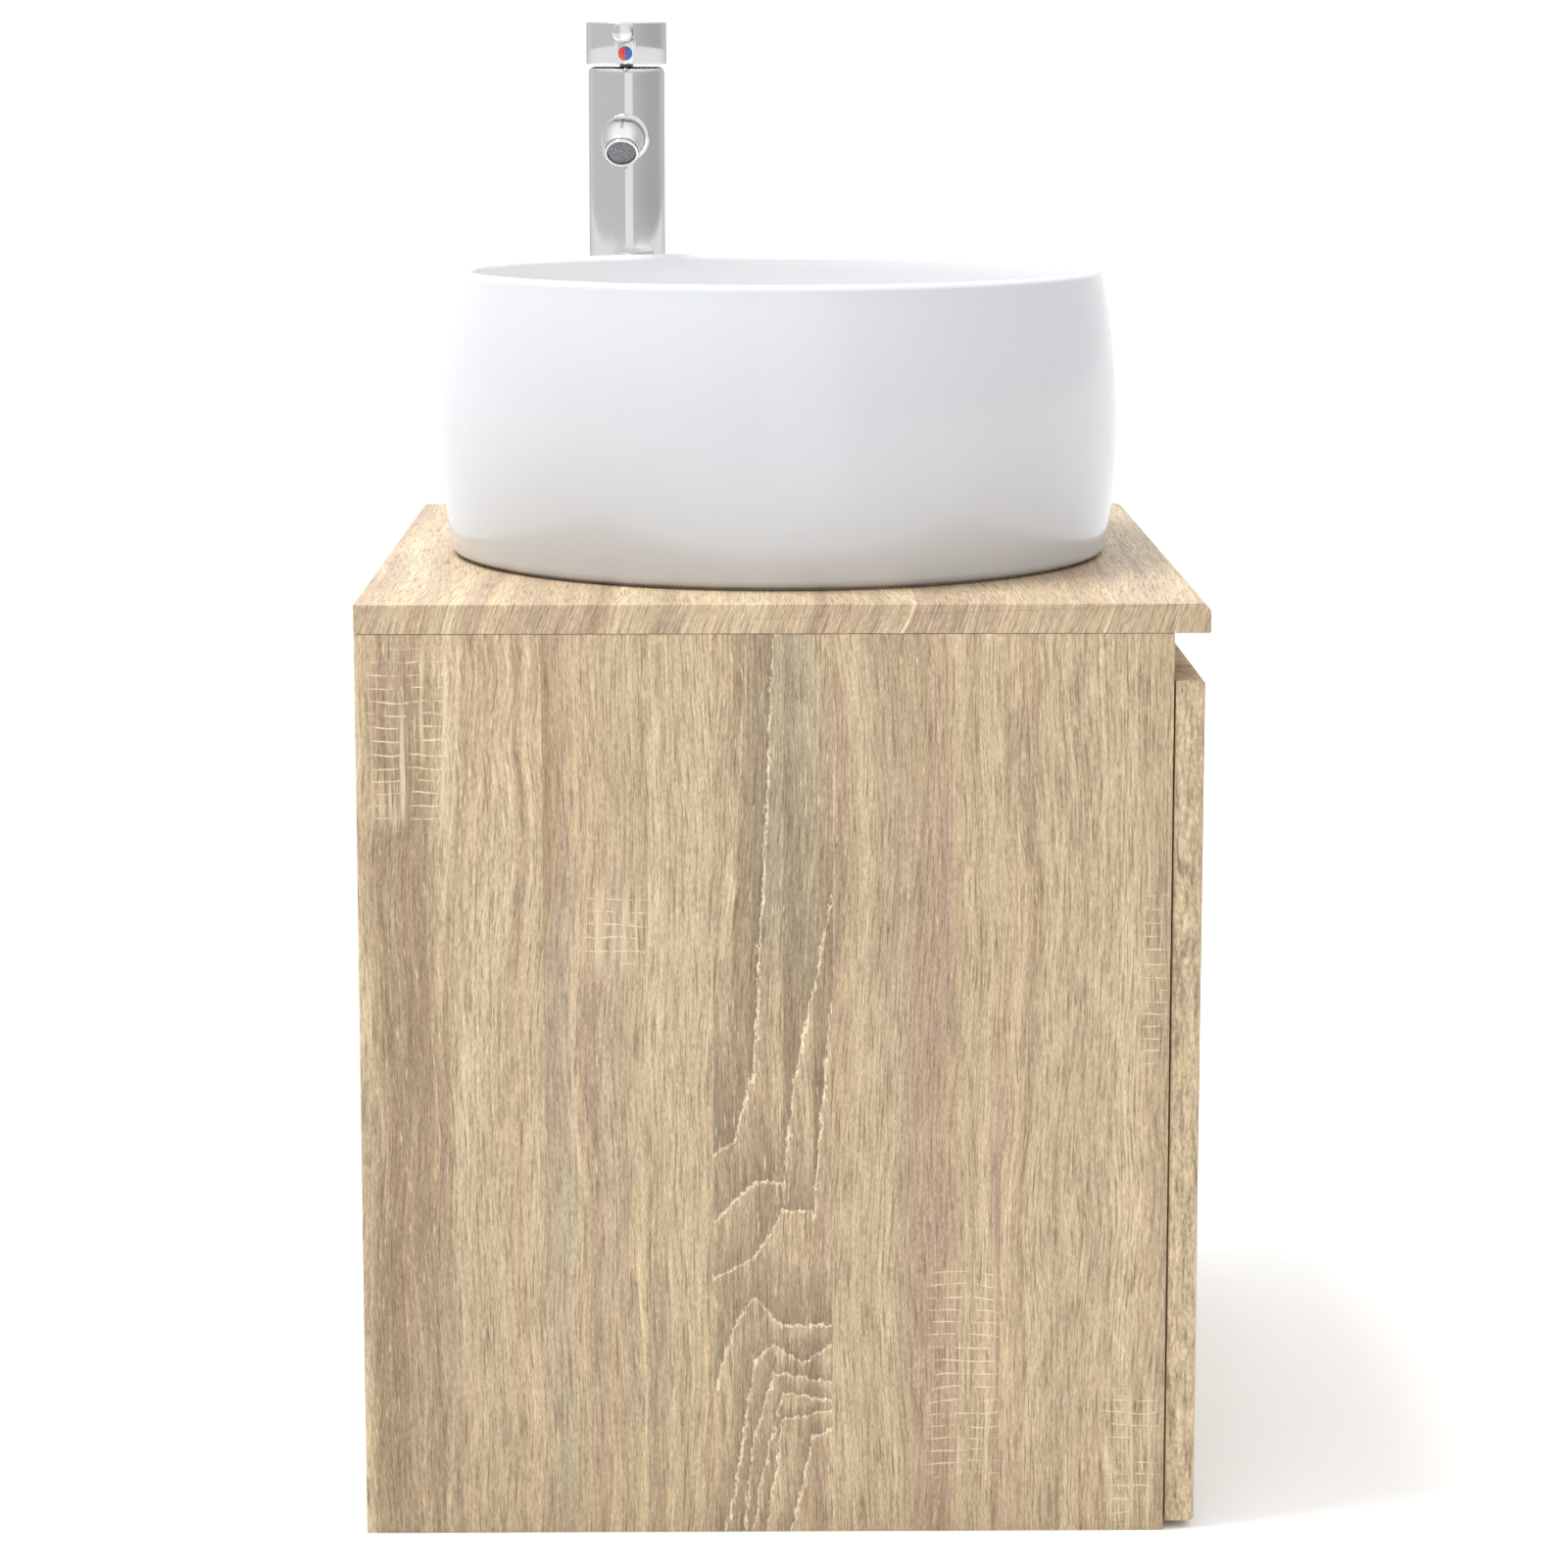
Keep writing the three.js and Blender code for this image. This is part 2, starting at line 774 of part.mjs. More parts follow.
function trapUnit() {
  const group = new THREE.Group();
  group.position.z = tailZ;
  const tailGrip = waste.bodyRadius + loose;
  const bossGrip = pipeHole + trap.neckWall + loose;
  const pipeStart = trap.bodyRadius - trap.bodyWall;
  const outletPipe = toWall(ring(pipeBore, trap.pipeRadius, pipeStart, wallY));
  const outletNut = toWall(
    unionNut(bossGrip, -bossEndY - trap.nutLip, -bossEndY, -bossEndY + trap.nutGrip)
      .rotateX(Math.PI));
  const rose = toWall(turned([
    [pipeHole, wallY - trap.wallRoseDepth],
    [pipeHole + trap.neckWall, wallY - trap.wallRoseDepth],
    [trap.wallRoseRadius, wallY - trap.pipeWall],
    [trap.wallRoseRadius, wallY],
    [pipeHole, wallY],
  ]));
  addPart(group, "trap_inlet_nut",
    unionNut(tailGrip, nutLow, -trap.dipFlangeThick, trap.nutGrip), palette.chrome);
  addPart(group, "trap_dip_pipe", dipPipe(), palette.chrome);
  addPart(group, "trap_body", trapBody(), palette.chrome);
  addPart(group, "trap_cup", trapCup(), palette.chrome);
  addPart(group, "trap_outlet_pipe", outletPipe.translate(0, 0, outletZ), palette.chrome);
  addPart(group, "trap_outlet_nut", outletNut.translate(0, 0, outletZ), palette.chrome);
  addPart(group, "trap_wall_rose", rose.translate(0, 0, outletZ), palette.chrome);
  return group;
}

// The pillar mixer. Its group's origin is on the countertop, on the pillar's axis.

const bodyBase = tap.gasketThick;
const pillarTop = bodyBase + tap.bodyHeight;
const recessTop = bodyBase + tap.footRecess;
const seatZ = tap.seatHeight;
const spoutZ = tap.spoutHeight;
const shoulderS = tap.radius + spout.collarThick;
const shankS = tap.seatRadius + loose;
const underCounter = -board.thick;

function pillar() {
  const round = tap.shoulderRound;
  const recessRadius = tap.radius - tap.footWall;
  const shell = turned([
    [0, recessTop],
    [recessRadius, recessTop],
    [recessRadius, bodyBase],
    [tap.radius, bodyBase],
    ...arc(tap.radius - round, pillarTop - round, round, 0, Math.PI / 2, 4),
    [tap.seatRadius, pillarTop],
    [tap.seatRadius, seatZ],
    [0, seatZ],
  ], fineSegments);
  const past = tap.footRecess;
  const inlet = (side) => disc(tap.inletRadius, recessTop - past, seatZ + past, smallSegments)
    .translate(side * tap.inletOffset, 0, 0);
  const spoutHole = toLeft(disc(spout.shankRadius + loose, tap.seatRadius / 2, tap.radius + past))
    .translate(0, 0, spoutZ);
  const studHole = disc(tap.studRadius + loose, recessTop - past,
    recessTop + tap.studBite + loose, smallSegments).translate(0, tap.studOffset, 0);
  return cut(shell, inlet(-1), inlet(1), spoutHole, studHole);
}

// The spout's centreline runs level from the pillar, then turns down on an arc.
const turnLength = spout.bendRadius * spout.bend;
const turnReach = spout.bendRadius * Math.sin(spout.bend) + spout.endLength * Math.cos(spout.bend);
const turnStart = spout.reach - turnReach;
const turnEnd = turnStart + turnLength;
const spoutEnd = turnEnd + spout.endLength;

// Bends a piece made along +Z onto that centreline.
function alongSpout(geometry) {
  const position = geometry.attributes.position;
  for (let i = 0; i < position.count; i += 1) {
    const up = position.getX(i);
    const run = position.getZ(i);
    const turn = THREE.MathUtils.clamp((run - turnStart) / spout.bendRadius, 0, spout.bend);
    const level = Math.min(run, turnStart);
    const past = Math.max(run - turnEnd, 0);
    const radius = spout.bendRadius + up;
    const x = -level - radius * Math.sin(turn) - past * Math.cos(turn);
    const z = radius * Math.cos(turn) - spout.bendRadius - past * Math.sin(turn);
    position.setXYZ(i, x, position.getY(i), z);
  }
  return geometry.translate(0, 0, spoutZ);
}

function spoutTube() {
  const outer = [];
  const inner = [];
  for (let i = 0; i <= spout.bendSteps; i += 1) {
    const share = i / spout.bendSteps;
    const run = turnStart + turnLength * share;
    outer.push([THREE.MathUtils.lerp(spout.radius, spout.endRadius, share), run]);
    inner.unshift([spout.boreRadius, run]);
  }
  const cupRadius = spout.aeratorRadius + loose;
  const cupFloor = spoutEnd - spout.aeratorDepth - loose;
  return alongSpout(turned([
    [spout.boreRadius, shankS],
    [spout.shankRadius, shankS],
    [spout.shankRadius, shoulderS],
    [spout.radius, shoulderS],
    ...outer,
    [spout.endRadius, spoutEnd],
    [cupRadius, spoutEnd],
    [cupRadius, cupFloor],
    [spout.boreRadius, cupFloor],
    ...inner,
  ], fineSegments));
}

function collar() {
  const start = tap.radius / 2;
  const sleeve = toLeft(ring(spout.shankRadius + loose, spout.collarRadius, start, shoulderS))
    .translate(0, 0, spoutZ);
  return cut(sleeve, disc(tap.radius + loose, 0, pillarTop, fineSegments));
}

function cartridgeHousing() {
  const outer = tap.seatRadius - loose;
  const top = seatZ + cartridge.height;
  const shell = turned([
    [0, seatZ],
    [outer, seatZ],
    [outer, top],
    [cartridge.cavityRadius, top],
    [cartridge.cavityRadius, top - cartridge.cavityDepth],
    [0, top - cartridge.cavityDepth],
  ]);
  const outlet = toLeft(disc(cartridge.outletRadius, 0, tap.radius)).translate(0, 0, spoutZ);
  return cut(shell, outlet);
}

const carrierLow = seatZ + cartridge.height - cartridge.cavityDepth;
const carrierHigh = carrierLow + cartridge.carrierThick;
const pivotZ = carrierHigh + cartridge.pivotAboveCarrier;
const earGap = cartridge.stemRadius + loose;
const earEnd = earGap + cartridge.earThick;

function pivotPin(radius, reach) {
  return toWall(disc(radius, -reach, reach, roundSegments)).translate(0, 0, pivotZ);
}

// A turning disc with two ears that carry the spindle's pin.
function cartridgeCarrier() {
  const half = cartridge.earWidth / 2;
  const ear = (side) => block([-half, side * earGap, carrierLow],
    [half, side * earEnd, carrierHigh + cartridge.earHeight]);
  const base = disc(cartridge.cavityRadius - loose, carrierLow, carrierHigh);
  const hole = pivotPin(cartridge.pinRadius + cartridge.pinClearance, 2 * earEnd);
  return cut(join(base, ear(-1), ear(1)), hole);
}

const capLow = pillarTop + handle.seam;
const capHigh = capLow + handle.capHeight;
const ceilingZ = capHigh - handle.topThick;
const bossLow = capLow + handle.bossRise;
const stemTop = bossLow + handle.stemBite;
const leverZ = capHigh - handle.leverDrop;
const dotZ = capLow + handle.dotRise;
const skirtInner = handle.capRadius - handle.skirtWall;
const leverSeat = handle.capRadius - handle.leverSeat;

function spindle() {
  const stem = turned([
    ...arc(0, pivotZ, cartridge.stemRadius, -Math.PI / 2, 0, 3),
    [cartridge.stemRadius, stemTop],
    [0, stemTop],
  ]);
  return join(stem, pivotPin(cartridge.pinRadius, earEnd));
}

function handleCap() {
  const round = handle.edgeRound;
  const stemHole = cartridge.stemRadius + loose;
  const shell = turned([
    [0, stemTop + loose],
    [stemHole, stemTop + loose],
    [stemHole, bossLow],
    [handle.bossRadius, bossLow],
    [handle.bossRadius, ceilingZ],
    [skirtInner, ceilingZ],
    [skirtInner, capLow],
    [handle.capRadius, capLow],
    ...arc(handle.capRadius - round, capHigh - round, round, 0, Math.PI / 2, 3),
    [0, capHigh],
  ], fineSegments);
  const ribLow = leverZ - handle.ribHalfWidth;
  const rib = block([-skirtInner - handle.skirtWall / 2, -handle.ribHalfWidth, ribLow],
    [-handle.bossRadius / 2, handle.ribHalfWidth, ceilingZ + handle.topThick / 2]);
  const stemSpace = disc(stemHole, bossLow - handle.stemBite, stemTop + loose);
  const out = 2 * handle.capRadius;
  const seat = toLeft(disc(handle.leverRadius + loose / 2, leverSeat, out));
  const threadEnd = leverSeat - handle.threadLength - loose;
  const thread = toLeft(disc(handle.threadRadius + loose / 2, threadEnd, out, smallSegments));
  const dotHole = toLeft(disc(handle.dotRadius + loose / 2, handle.bossRadius + loose, out));
  const screwHole = toLeft(disc(handle.setScrewRadius + loose / 2, cartridge.stemRadius / 2, out,
    smallSegments));
  return cut(
    join(shell, cut(rib, stemSpace)),
    seat.translate(0, 0, leverZ),
    thread.translate(0, 0, leverZ),
    dotHole.translate(0, 0, dotZ),
    screwHole.translate(0, 0, dotZ),
  );
}

function leverPin() {
  const end = handle.capRadius + handle.leverLength;
  const chamfer = handle.leverChamfer;
  return toLeft(turned([
    [0, leverSeat - handle.threadLength],
    [handle.threadRadius, leverSeat - handle.threadLength],
    [handle.threadRadius, leverSeat],
    [handle.leverRadius, leverSeat],
    [handle.leverRadius, end - chamfer],
    [handle.leverRadius - chamfer, end],
    [0, end],
  ])).translate(0, 0, leverZ);
}

function horseshoeWasher() {
  const thick = tap.washerThick;
  const high = underCounter;
  const low = high - thick;
  const reach = 2 * tap.washerRadius;
  const sideLimit = Math.min(reach, innerHalf - tapX - tap.washerMargin);
  const plate = clip(disc(tap.washerRadius, low, high),
    block([-reach, -reach, low - thick], [sideLimit, reach, high + thick]));
  const slotEnd = tap.studOffset - tap.studRadius - thick;
  return cut(
    plate,
    block([-tap.washerSlot, -reach, low - thick], [tap.washerSlot, slotEnd, high + thick]),
    disc(tap.studRadius + loose, low - thick, high + thick, smallSegments)
      .translate(0, tap.studOffset, 0),
  );
}

function tapUnit() {
  const group = new THREE.Group();
  group.position.set(tapX, tapY, counterTop);
  const studLow = underCounter - tap.studDrop;
  const nutHigh = underCounter - tap.washerThick;
  const aeratorLow = spoutEnd - spout.aeratorDepth;
  const housingTop = seatZ + cartridge.height;
  addPart(group, "tap_base_gasket",
    ring(tap.radius - tap.gasketWidth, tap.radius - loose, 0, tap.gasketThick), palette.rubber);
  addPart(group, "tap_pillar", pillar(), palette.chrome);
  addPart(group, "tap_spout", spoutTube(), palette.chrome);
  addPart(group, "spout_collar", collar(), palette.chrome);
  addPart(group, "aerator_housing",
    alongSpout(ring(spout.aeratorBore, spout.aeratorRadius, aeratorLow,
      spoutEnd + spout.aeratorProud)),
    palette.chrome);
  addPart(group, "aerator_insert",
    alongSpout(disc(spout.aeratorBore - loose, aeratorLow, aeratorLow + spout.insertThick)),
    palette.greyPlastic);
  addPart(group, "cartridge_housing", cartridgeHousing(), palette.whitePlastic);
  addPart(group, "cartridge_nut",
    ring(cartridge.cavityRadius + loose, tap.seatRadius - loose, housingTop,
      housingTop + cartridge.nutHeight),
    palette.brass);
  addPart(group, "cartridge_carrier", cartridgeCarrier(), palette.greyPlastic);
  addPart(group, "cartridge_spindle", spindle(), palette.steel);
  addPart(group, "handle_cap", handleCap(), palette.chrome);
  addPart(group, "handle_lever", leverPin(), palette.chrome);
  addPart(group, "handle_set_screw",
    toLeft(disc(handle.setScrewRadius, earGap, handle.bossRadius, smallSegments))
      .translate(0, 0, dotZ),
    palette.steel);
  addPart(group, "temperature_dot",
    toLeft(disc(handle.dotRadius, skirtInner, handle.capRadius + handle.dotProud))
      .translate(0, 0, dotZ),
    palette.red);
  addPart(group, "tap_stud",
    disc(tap.studRadius, studLow, recessTop + tap.studBite, smallSegments)
      .translate(0, tap.studOffset, 0),
    palette.brass);
  addPart(group, "tap_horseshoe_washer", horseshoeWasher(), palette.steel);
  addPart(group, "tap_stud_nut",
    cut(disc(tap.studNutRadius, nutHigh - tap.studNutHeight, nutHigh, hexSegments),
      disc(tap.studRadius + loose, studLow, underCounter, smallSegments))
      .translate(0, tap.studOffset, 0),
    palette.brass);
  return group;
}

const washstand = new THREE.Group();
washstand.add(cabinet(), drawerUnit(), basinUnit(), wasteUnit(), trapUnit(), tapUnit());

export default washstand;
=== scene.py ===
import math
import bpy
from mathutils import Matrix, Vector


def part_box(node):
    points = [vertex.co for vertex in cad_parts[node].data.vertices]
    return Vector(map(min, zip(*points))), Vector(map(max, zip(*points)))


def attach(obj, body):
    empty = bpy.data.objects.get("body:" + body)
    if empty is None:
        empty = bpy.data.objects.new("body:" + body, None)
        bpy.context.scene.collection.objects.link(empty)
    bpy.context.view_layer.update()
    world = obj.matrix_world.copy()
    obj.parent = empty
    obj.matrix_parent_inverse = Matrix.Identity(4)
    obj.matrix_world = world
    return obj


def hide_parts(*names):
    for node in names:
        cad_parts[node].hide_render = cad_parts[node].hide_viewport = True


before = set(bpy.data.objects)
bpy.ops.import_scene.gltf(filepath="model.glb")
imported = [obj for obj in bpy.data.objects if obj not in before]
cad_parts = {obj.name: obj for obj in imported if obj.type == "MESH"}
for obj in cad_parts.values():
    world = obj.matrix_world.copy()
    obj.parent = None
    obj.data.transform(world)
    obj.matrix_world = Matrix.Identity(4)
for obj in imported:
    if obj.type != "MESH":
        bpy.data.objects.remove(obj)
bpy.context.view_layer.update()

mm = 0.001
left, wall, up = (-1, 0, 0), (0, 1, 0), (0, 0, 1)


# small modelling helpers

def deselectAll():
    if bpy.context.object and bpy.context.object.mode == "EDIT":
        bpy.ops.object.mode_set(mode="OBJECT")
    bpy.ops.object.select_all(action="DESELECT")


def useOnly(piece):
    deselectAll()
    piece.select_set(True)
    bpy.context.view_layer.objects.active = piece


def finishPiece(piece, name, body, material, smoothAngle=35, stands=()):
    useOnly(piece)
    bpy.ops.object.transform_apply(location=True, rotation=True, scale=True)
    if smoothAngle:
        bpy.ops.object.shade_smooth_by_angle(angle=math.radians(smoothAngle))
    piece.name = name
    piece.data.name = name
    piece.data.materials.clear()
    piece.data.materials.append(material)
    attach(piece, body)
    if stands:
        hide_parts(*stands)
    piece.select_set(False)
    return piece


def pickEdges(piece, wanted):
    # selects the edges whose two ends both pass the test, in edit mode
    bpy.ops.object.mode_set(mode="EDIT")
    bpy.ops.mesh.select_mode(type="EDGE")
    bpy.ops.mesh.select_all(action="DESELECT")
    bpy.ops.object.mode_set(mode="OBJECT")
    points = piece.data.vertices
    for edge in piece.data.edges:
        ends = [points[i].co for i in edge.vertices]
        edge.select = all(wanted(end) for end in ends)
    bpy.ops.object.mode_set(mode="EDIT")


def pickFaces(piece, wanted):
    bpy.ops.object.mode_set(mode="EDIT")
    bpy.ops.mesh.select_mode(type="FACE")
    bpy.ops.mesh.select_all(action="DESELECT")
    bpy.ops.object.mode_set(mode="OBJECT")
    for face in piece.data.polygons:
        face.select = wanted(face)
    bpy.ops.object.mode_set(mode="EDIT")


def gripGrooves(piece, centre, along, radius, count, depth):
    # presses evenly spaced hollows into the outer face of a turned grip
    centre, along = Vector(centre), Vector(along).normalized()
    side = along.orthogonal().normalized()
    top = along.cross(side)

    def pressed(face):
        away = face.center - centre
        flat = away - along * away.dot(along)
        if flat.length < radius * 0.985 or abs(face.normal.dot(along)) > 0.2:
            return False
        turn = math.atan2(flat.dot(top), flat.dot(side)) / (2 * math.pi)
        return (turn * count) % 1 < 0.5

    pickFaces(piece, pressed)
    bpy.ops.mesh.inset(thickness=depth, depth=-depth)
    bpy.ops.object.mode_set(mode="OBJECT")


def bevelWhere(piece, wanted, width, segments):
    pickEdges(piece, wanted)
    bpy.ops.mesh.bevel(offset=width, segments=segments, profile=0.5, affect="EDGES")
    bpy.ops.object.mode_set(mode="OBJECT")


def boardBetween(low, high):
    deselectAll()
    low, high = Vector(low), Vector(high)
    bpy.ops.mesh.primitive_cube_add(size=1, location=(low + high) / 2)
    board = bpy.context.object
    board.scale = high - low
    bpy.ops.object.transform_apply(location=True, rotation=True, scale=True)
    return board


def cutWith(piece, cutter, operation="DIFFERENCE"):
    useOnly(piece)
    step = piece.modifiers.new("cut", "BOOLEAN")
    step.operation = operation
    step.solver = "EXACT"
    step.object = cutter
    bpy.ops.object.modifier_apply(modifier=step.name)
    bpy.data.objects.remove(cutter, do_unlink=True)


def drillFor(radius, start, along, length, sides=48):
    deselectAll()
    along = Vector(along).normalized()
    middle = Vector(start) + along * length / 2
    turn = along.to_track_quat("Z", "Y").to_euler()
    bpy.ops.mesh.primitive_cylinder_add(
        vertices=sides, radius=radius, depth=length, location=middle, rotation=turn)
    return bpy.context.object


def softOutline(points, steps=4):
    # each point is (radius, height) or (radius, height, rounding)
    path = []
    for i, point in enumerate(points):
        here = Vector(point[:2])
        rounding = point[2] if len(point) > 2 else 0
        if not rounding:
            path.append(here)
            continue
        before = Vector(points[i - 1][:2])
        after = Vector(points[(i + 1) % len(points)][:2])
        start = here + (before - here).normalized() * rounding
        end = here + (after - here).normalized() * rounding
        for k in range(steps + 1):
            t = k / steps
            path.append(start * (1 - t) ** 2 + here * 2 * t * (1 - t) + end * t ** 2)
    return path


def turnedPiece(outline, centre, along=up, across=(1, 0, 0), steps=64, closed=True):
    # draws the outline with vertex extrusions beside the axis, then spins it
    centre, along, across = Vector(centre), Vector(along).normalized(), Vector(across)
    across = (across - along * across.dot(along)).normalized()
    places = [centre + across * p.x + along * p.y for p in softOutline(outline)]
    deselectAll()
    bpy.ops.mesh.primitive_plane_add(size=mm, location=places[0])
    piece = bpy.context.object
    bpy.ops.object.transform_apply(location=True, rotation=False, scale=False)
    bpy.ops.object.mode_set(mode="EDIT")
    bpy.ops.mesh.select_mode(type="VERT")
    bpy.ops.mesh.select_all(action="SELECT")
    bpy.ops.mesh.merge(type="CENTER")
    if closed:
        places.append(places[0])
    for before, after in zip(places, places[1:]):
        bpy.ops.mesh.extrude_vertices_move(TRANSFORM_OT_translate={"value": after - before})
    bpy.ops.mesh.select_all(action="SELECT")
    bpy.ops.mesh.spin(steps=steps, angle=2 * math.pi, center=centre, axis=along)
    bpy.ops.mesh.select_all(action="SELECT")
    bpy.ops.mesh.remove_doubles(threshold=0.002 * mm)
    bpy.ops.mesh.normals_make_consistent(inside=False)
    bpy.ops.object.mode_set(mode="OBJECT")
    return piece


# small material helpers

def paint(red, green, blue):
    def linear(value):
        share = value / 255
        return share / 12.92 if share <= 0.04045 else ((share + 0.055) / 1.055) ** 2.4
    return (linear(red), linear(green), linear(blue), 1)


def newMaterial(name):
    material = bpy.data.materials.new(name)
    material.use_nodes = True
    return material, material.node_tree


def shaderOf(tree):
    return tree.nodes["Principled BSDF"]


def addNode(tree, kind, **settings):
    node = tree.nodes.new(kind)
    for key, value in settings.items():
        setattr(node, key, value)
    return node


def wire(tree, source, target):
    tree.links.new(source, target)


def fill(tree, socket, value):
    # a socket takes either a fixed value or another node's output
    if hasattr(value, "is_linked"):
        wire(tree, value, socket)
    else:
        socket.default_value = value


def placeAt(tree, scale=(1, 1, 1)):
    coords = addNode(tree, "ShaderNodeTexCoord")
    mapping = addNode(tree, "ShaderNodeMapping")
    mapping.inputs["Scale"].default_value = scale
    wire(tree, coords.outputs["Object"], mapping.inputs["Vector"])
    return mapping.outputs["Vector"]


def noiseAt(tree, vector, scale=1, detail=2, roughness=0.5, distortion=0):
    node = addNode(tree, "ShaderNodeTexNoise")
    node.inputs["Scale"].default_value = scale
    node.inputs["Detail"].default_value = detail
    node.inputs["Roughness"].default_value = roughness
    node.inputs["Distortion"].default_value = distortion
    wire(tree, vector, node.inputs["Vector"])
    return node.outputs["Fac"]


def rampOf(tree, factor, stops, blend="LINEAR"):
    node = addNode(tree, "ShaderNodeValToRGB")
    node.color_ramp.interpolation = blend
    marks = node.color_ramp.elements
    while len(marks) < len(stops):
        marks.new(1)
    for mark, (position, colour) in zip(marks, stops):
        mark.position = position
        mark.color = colour if hasattr(colour, "__len__") else (colour, colour, colour, 1)
    wire(tree, factor, node.inputs["Fac"])
    return node.outputs["Color"]


def mathOf(tree, operation, first, second=None):
    node = addNode(tree, "ShaderNodeMath", operation=operation)
    fill(tree, node.inputs[0], first)
    if second is not None:
        fill(tree, node.inputs[1], second)
    return node.outputs["Value"]


def productOf(tree, first, *others):
    for other in others:
        first = mathOf(tree, "MULTIPLY", first, other)
    return first


def mixOf(tree, share, first, second, blend="MIX"):
    node = addNode(tree, "ShaderNodeMix", data_type="RGBA", blend_type=blend)
    for i, value in ((0, share), (6, first), (7, second)):
        fill(tree, node.inputs[i], value)
    return node.outputs[2]


def softStep(tree, value, edge, blur):
    node = addNode(tree, "ShaderNodeMapRange", interpolation_type="SMOOTHSTEP")
    node.inputs["From Min"].default_value = edge - blur
    node.inputs["From Max"].default_value = edge + blur
    wire(tree, value, node.inputs["Value"])
    return node.outputs["Result"]


def windowOf(tree, value, low, high, blur):
    # one between the two edges, nothing outside them
    inside = mathOf(tree, "SUBTRACT", 1, softStep(tree, value, high, blur))
    return mathOf(tree, "MULTIPLY", softStep(tree, value, low, blur), inside)


def bumpFrom(tree, height, strength, distance):
    node = addNode(tree, "ShaderNodeBump")
    node.inputs["Strength"].default_value = strength
    node.inputs["Distance"].default_value = distance
    wire(tree, height, node.inputs["Height"])
    wire(tree, node.outputs["Normal"], shaderOf(tree).inputs["Normal"])


def setShader(tree, **values):
    for key, value in values.items():
        fill(tree, shaderOf(tree).inputs[key.replace("_", " ")], value)


# oak melamine: planks side by side, vertical grain, flames, pores and saw marks

oak = {
    "cream": paint(228, 210, 178),
    "light": paint(195, 175, 144),
    "middle": paint(182, 160, 130),
    "dark": paint(163, 140, 111),
    "deep": paint(120, 98, 74),
    "rosy": paint(173, 150, 127),
    "green": paint(180, 166, 135),
    "grey": paint(163, 154, 131),
    "poreAcross": 980,
    "poreAlong": 40,
    "fineAcross": 1900,
    "fineAlong": 300,
    "lineCount": 8,
    "sawPitch": 6.7 * mm,
}

# the edges of one flame figure, topmost first, as (across, along) in millimetres
flameEdges = [
    [(-25, 485), (5, 465), (15, 245), (25, 205), (35, 200)],
    [(-25, 335), (-5, 235), (0, 185), (15, 185), (35, 165)],
    [(-25, 285), (-15, 170), (0, 170), (15, 145), (35, 135)],
    [(-25, 110), (0, 110), (15, 125), (25, 110), (35, 75)],
    [(-25, 100), (-10, 90), (5, 100), (15, 90), (25, 20), (35, -15)],
    [(-25, 80), (5, 85), (15, 50), (20, 5), (35, -65)],
    [(-25, 70), (0, 75), (10, 35), (35, -115)],
    [(-25, 65), (0, 60), (10, -10), (35, -115)],
    [(-25, 55), (-15, 50), (-5, 5), (35, -165)],
]
flameFade = [120, 35, 40, 35, 12, 9, 7, 6, 8]


def newGroup(name, takes, gives):
    tree = bpy.data.node_groups.new(name, "ShaderNodeTree")
    for word in takes:
        tree.interface.new_socket(name=word, in_out="INPUT", socket_type="NodeSocketFloat")
    for word in gives:
        tree.interface.new_socket(name=word, in_out="OUTPUT", socket_type="NodeSocketFloat")
    return tree, addNode(tree, "NodeGroupInput").outputs, addNode(tree, "NodeGroupOutput").inputs


def useGroup(tree, group, *values):
    node = addNode(tree, "ShaderNodeGroup")
    node.node_tree = group
    for socket, value in zip(node.inputs, values):
        fill(tree, socket, value)
    return node.outputs


def edgeGroup(name, points, fade):
    # how much of a drawn edge's shade and cream line falls on a place
    tree, takes, gives = newGroup(name, ("across", "along", "wobble"), ("above", "fall", "line"))
    low, high = points[0][0] * mm, points[-1][0] * mm
    bottom, tall = -0.2, 0.7
    stops = [((p[0] * mm - low) / (high - low), (p[1] * mm - bottom) / tall) for p in points]
    reach = 0.5 * mm

    def heightAt(place):
        share = mathOf(tree, "DIVIDE", mathOf(tree, "SUBTRACT", place, low), high - low)
        return mathOf(tree, "MULTIPLY", rampOf(tree, share, stops), tall)

    here = heightAt(takes["across"])
    beside = heightAt(mathOf(tree, "ADD", takes["across"], reach))
    slope = mathOf(tree, "DIVIDE", mathOf(tree, "SUBTRACT", beside, here), reach)
    steep = mathOf(tree, "SQRT", mathOf(tree, "ADD", mathOf(tree, "MULTIPLY", slope, slope), 1))
    rise = mathOf(tree, "SUBTRACT", mathOf(tree, "SUBTRACT", takes["along"], bottom), here)
    away = mathOf(tree, "ADD", mathOf(tree, "DIVIDE", rise, steep), takes["wobble"])
    wire(tree, mathOf(tree, "GREATER_THAN", away, 0), gives["above"])
    wire(tree, rampOf(tree, mathOf(tree, "DIVIDE", away, fade * mm),
        [(0.0, 0.62), (0.25, 0.73), (0.65, 0.85), (1.0, 1.0)]), gives["fall"])
    wire(tree, windowOf(tree, away, -1.4 * mm, -0.1 * mm, 0.35 * mm), gives["line"])
    return tree


